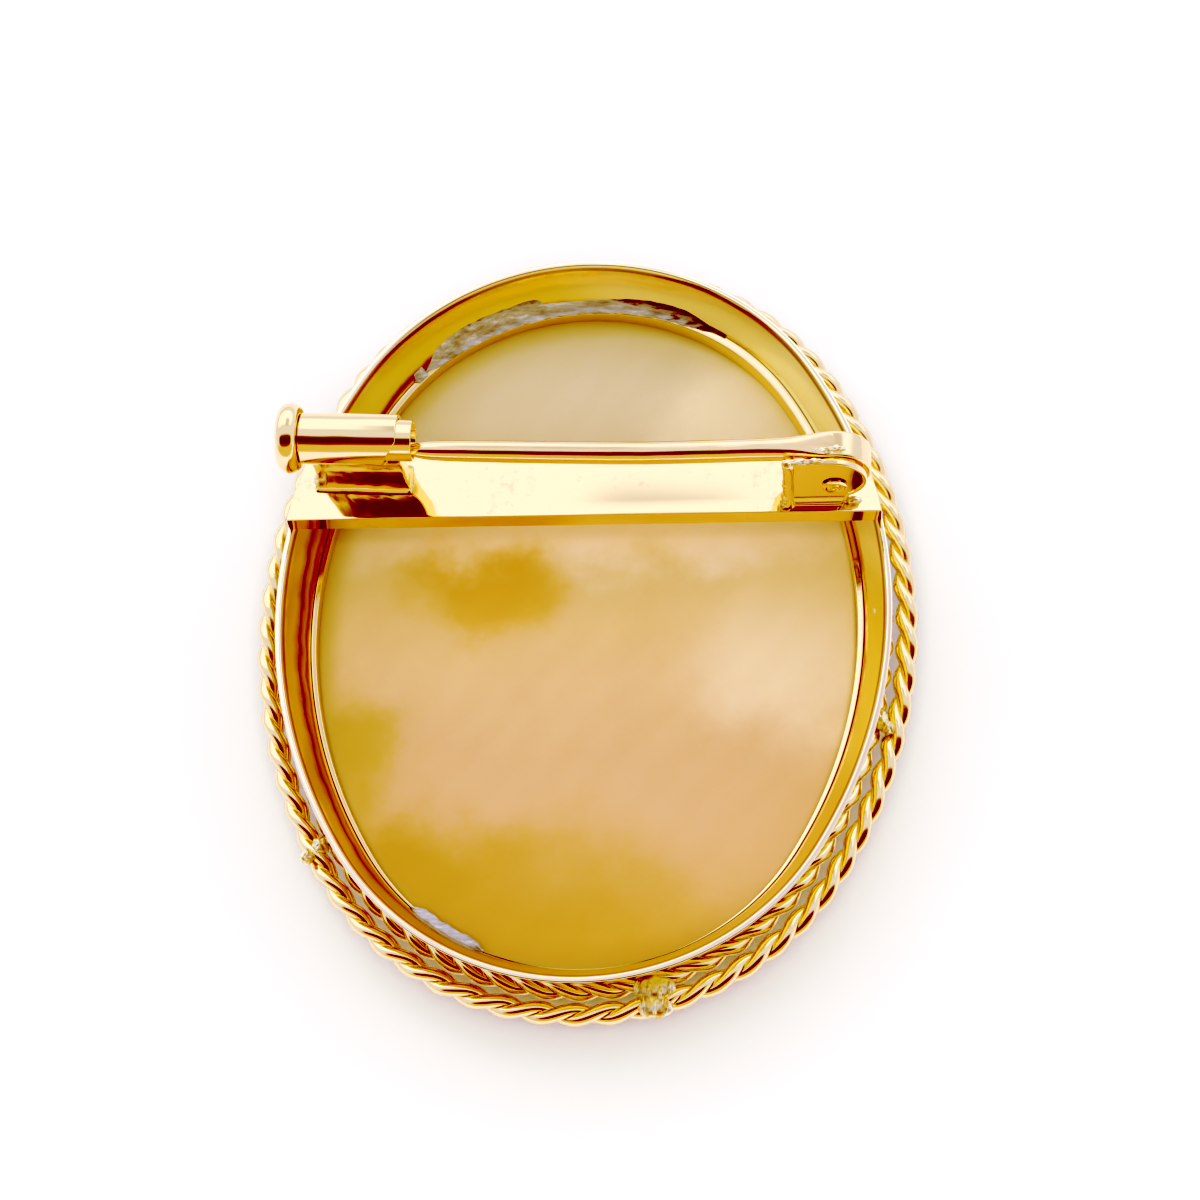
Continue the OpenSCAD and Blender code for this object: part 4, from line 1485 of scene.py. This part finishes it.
@dataclass(frozen=True)
class RoomPart:
    """A soft-edged part of the room, by its angles from straight up.

    Args:
        north: Angle of its middle towards +Y, in degrees.
        east: Angle of its middle towards +X.
        tall: Half of its extent from north to south.
        wide: Half of its extent from east to west.
        soft: Share of its extent over which it fades.
        colour: Its colour as hex.
        strength: Its brightness.
    """

    north: float
    east: float
    tall: float
    wide: float
    soft: float
    colour: str
    strength: float

    def factor(self, graph: Graph, angles: Socket) -> Socket:
        """Returns the part's strength in a direction, which is given by its two angles."""
        north, east, tall, wide = (math.radians(v) for v in (self.north, self.east, self.tall, self.wide))
        shares = graph.shares(angles, (north, east), (tall, wide))
        # The fourth power of each angle gives a part with straight sides and round corners.
        far = graph.vector("LENGTH", graph.vector("MULTIPLY", shares, shares))
        return graph.span(far, 1 + self.soft, 1 - self.soft, run=Run.SMOOTH)


@dataclass(frozen=True)
class Light:
    """A square area light that polished gold doesn't mirror: its place and size in metres."""

    name: str
    place: Place
    size: float
    power: float
    colour: Place = (0.97, 1.0, 0.98)

    def hang(self) -> None:
        """Hangs the light, facing the brooch."""
        data = bpy.data.lights.new(self.name, "AREA")
        data.size = self.size
        data.energy = self.power
        data.color = self.colour
        light = bpy.data.objects.new(self.name, data)
        light.location = self.place
        light.rotation_euler = (-light.location).to_track_quat("-Z", "Y").to_euler()
        light.visible_glossy = False
        bpy.context.scene.collection.objects.link(light)


@dataclass(frozen=True)
class Studio:
    """Pale table, soft studio light and the photograph's camera.

    The camera looks down by tilt, stands turn to the right of the near side and is rolled by roll, all
    in degrees. It is distance millimetres from the point at target_z over the table, which is at
    centre_px in the photograph.
    """

    tilt: float = 65.596
    turn: float = 9.712
    roll: float = -9.641
    distance: float = 160.0
    focal_px: float = 2680.242
    centre_px: tuple[float, float] = (586.249, 625.268)
    photo_px: int = 1200
    target_z: float = 2.85
    ceiling: float = 0.92
    ceiling_colour: str = "#f6f8ff"
    lights: tuple[Light, ...] = (
        Light("window", (-0.22, 0.30, 0.42), 0.16, 0.1),
        Light("fill", (0.03, -0.25, 0.53), 0.34, 1.52),
    )
    room_parts: tuple[RoomPart, ...] = (
        RoomPart(46, -6, 28, 52, 0.3, "#f7f5ff", 1.36),
        RoomPart(26, 10, 14, 14, 0.6, "#f8f4f6", 0.80),
        RoomPart(-36, 2, 21, 54, 0.2, "#ab7058", 0.8),
        RoomPart(-34, 2, 13, 48, 0.15, "#5a2a1c", 0.8),
        RoomPart(-72, 0, 16, 65, 0.3, "#e4d0ae", 1.0),
    )
    green_curve: Curve = (
        (0.11, 0.0), (0.17, 0.045), (0.24, 0.15), (0.36, 0.315), (0.507, 0.475), (0.68, 0.69), (0.85, 0.88)
    )
    blue_curve: Curve = ((0.12, 0.0), (0.2, 0.03), (0.29, 0.16), (0.39, 0.38), (0.5, 0.55), (0.67, 0.71))

    def camera(self) -> None:
        """Sets up the camera at the photograph's angle and distance."""
        e, a, roll = (math.radians(v) for v in (self.tilt, self.turn, self.roll))
        back = Vector((math.sin(a) * math.cos(e), -math.cos(a) * math.cos(e), math.sin(e)))
        across = Vector((math.cos(a), math.sin(a), 0.0))
        up = back.cross(across)
        right = math.cos(roll) * across + math.sin(roll) * up
        above = -math.sin(roll) * across + math.cos(roll) * up
        side, lift = ((self.photo_px / 2 - c) / self.focal_px * self.distance for c in self.centre_px)
        place = self.distance * back + side * right - lift * above + Vector((0, 0, self.target_z))
        data = bpy.data.cameras.new("camera")
        data.sensor_width = 36.0
        data.lens = self.focal_px / self.photo_px * data.sensor_width
        data.clip_start = 0.005
        data.clip_end = 20.0
        camera = bpy.data.objects.new("camera", data)
        rows = [[right[i], above[i], back[i], place[i] * MM] for i in range(3)]
        camera.matrix_world = Matrix([*rows, [0, 0, 0, 1]])
        bpy.context.scene.collection.objects.link(camera)
        bpy.context.scene.camera = camera

    def table(self, finishes: Finishes) -> None:
        """Lays the pale table, 3 m wide."""
        mesh = bpy.data.meshes.new("table")
        half = 1.5
        corners = [(-half, -half, 0), (half, -half, 0), (half, half, 0), (-half, half, 0)]
        mesh.from_pydata(corners, [], [[0, 1, 2, 3]])
        mesh.materials.append(finishes.paper)
        table = bpy.data.objects.new("table", mesh)
        bpy.context.scene.collection.objects.link(table)

    def room(self) -> None:
        """Sets up the pale room: its ceiling, and the soft parts that polished metal mirrors."""
        world = bpy.data.worlds.new("pale_room")
        world.use_nodes = True
        tree = world.node_tree
        graph = Graph(tree)
        towards = add_node(tree, "ShaderNodeTexCoord", {}).outputs["Generated"]
        x, y, z = (graph.axis(towards, name) for name in "XYZ")
        values = {"X": graph.number("ARCTAN2", y, z), "Y": graph.number("ARCSINE", x)}
        angles = add_node(tree, "ShaderNodeCombineXYZ", values).outputs["Vector"]
        colour = linear(self.ceiling_colour, self.ceiling)
        for part in self.room_parts:
            colour = graph.mix(part.factor(graph, angles), colour, linear(part.colour, part.strength))
        tree.links.new(colour, tree.nodes["Background"].inputs["Color"])
        bpy.context.scene.world = world

    def film(self) -> None:
        """Sets the picture's tones: whites run out, and the darkest tones keep only their red."""
        view = bpy.context.scene.view_settings
        view.view_transform = "Standard"
        view.use_curve_mapping = True
        for number, stops in ((1, self.green_curve), (2, self.blue_curve)):
            for x, y in stops:
                view.curve_mapping.curves[number].points.new(x, y)
        view.curve_mapping.update()

    def build(self, finishes: Finishes) -> None:
        """Builds camera, table, room, lights and film."""
        self.camera()
        self.table(finishes)
        self.room()
        for light in self.lights:
            light.hang()
        self.film()


def main() -> None:
    """Builds every sub-assembly in order."""
    logging.basicConfig(level=logging.INFO, format="%(name)s %(message)s")
    finishes = Finishes()
    oval = Oval()
    cup = Cup(oval)
    plate = CrossPlate(oval, cup)
    hinge = Hinge(plate.top_z)
    cup.build(finishes)
    CameoShell(oval).build(finishes)
    CementBed(oval, cup).build(finishes)
    plate.build(finishes)
    Catch(plate.top_z).build(finishes)
    hinge.build(finishes)
    Pin(hinge).build(finishes)
    RopeBorder(oval, cup).build(finishes)
    SolderJoints().build(finishes)
    Studio().build(finishes)


if __name__ == "__main__":
    main()
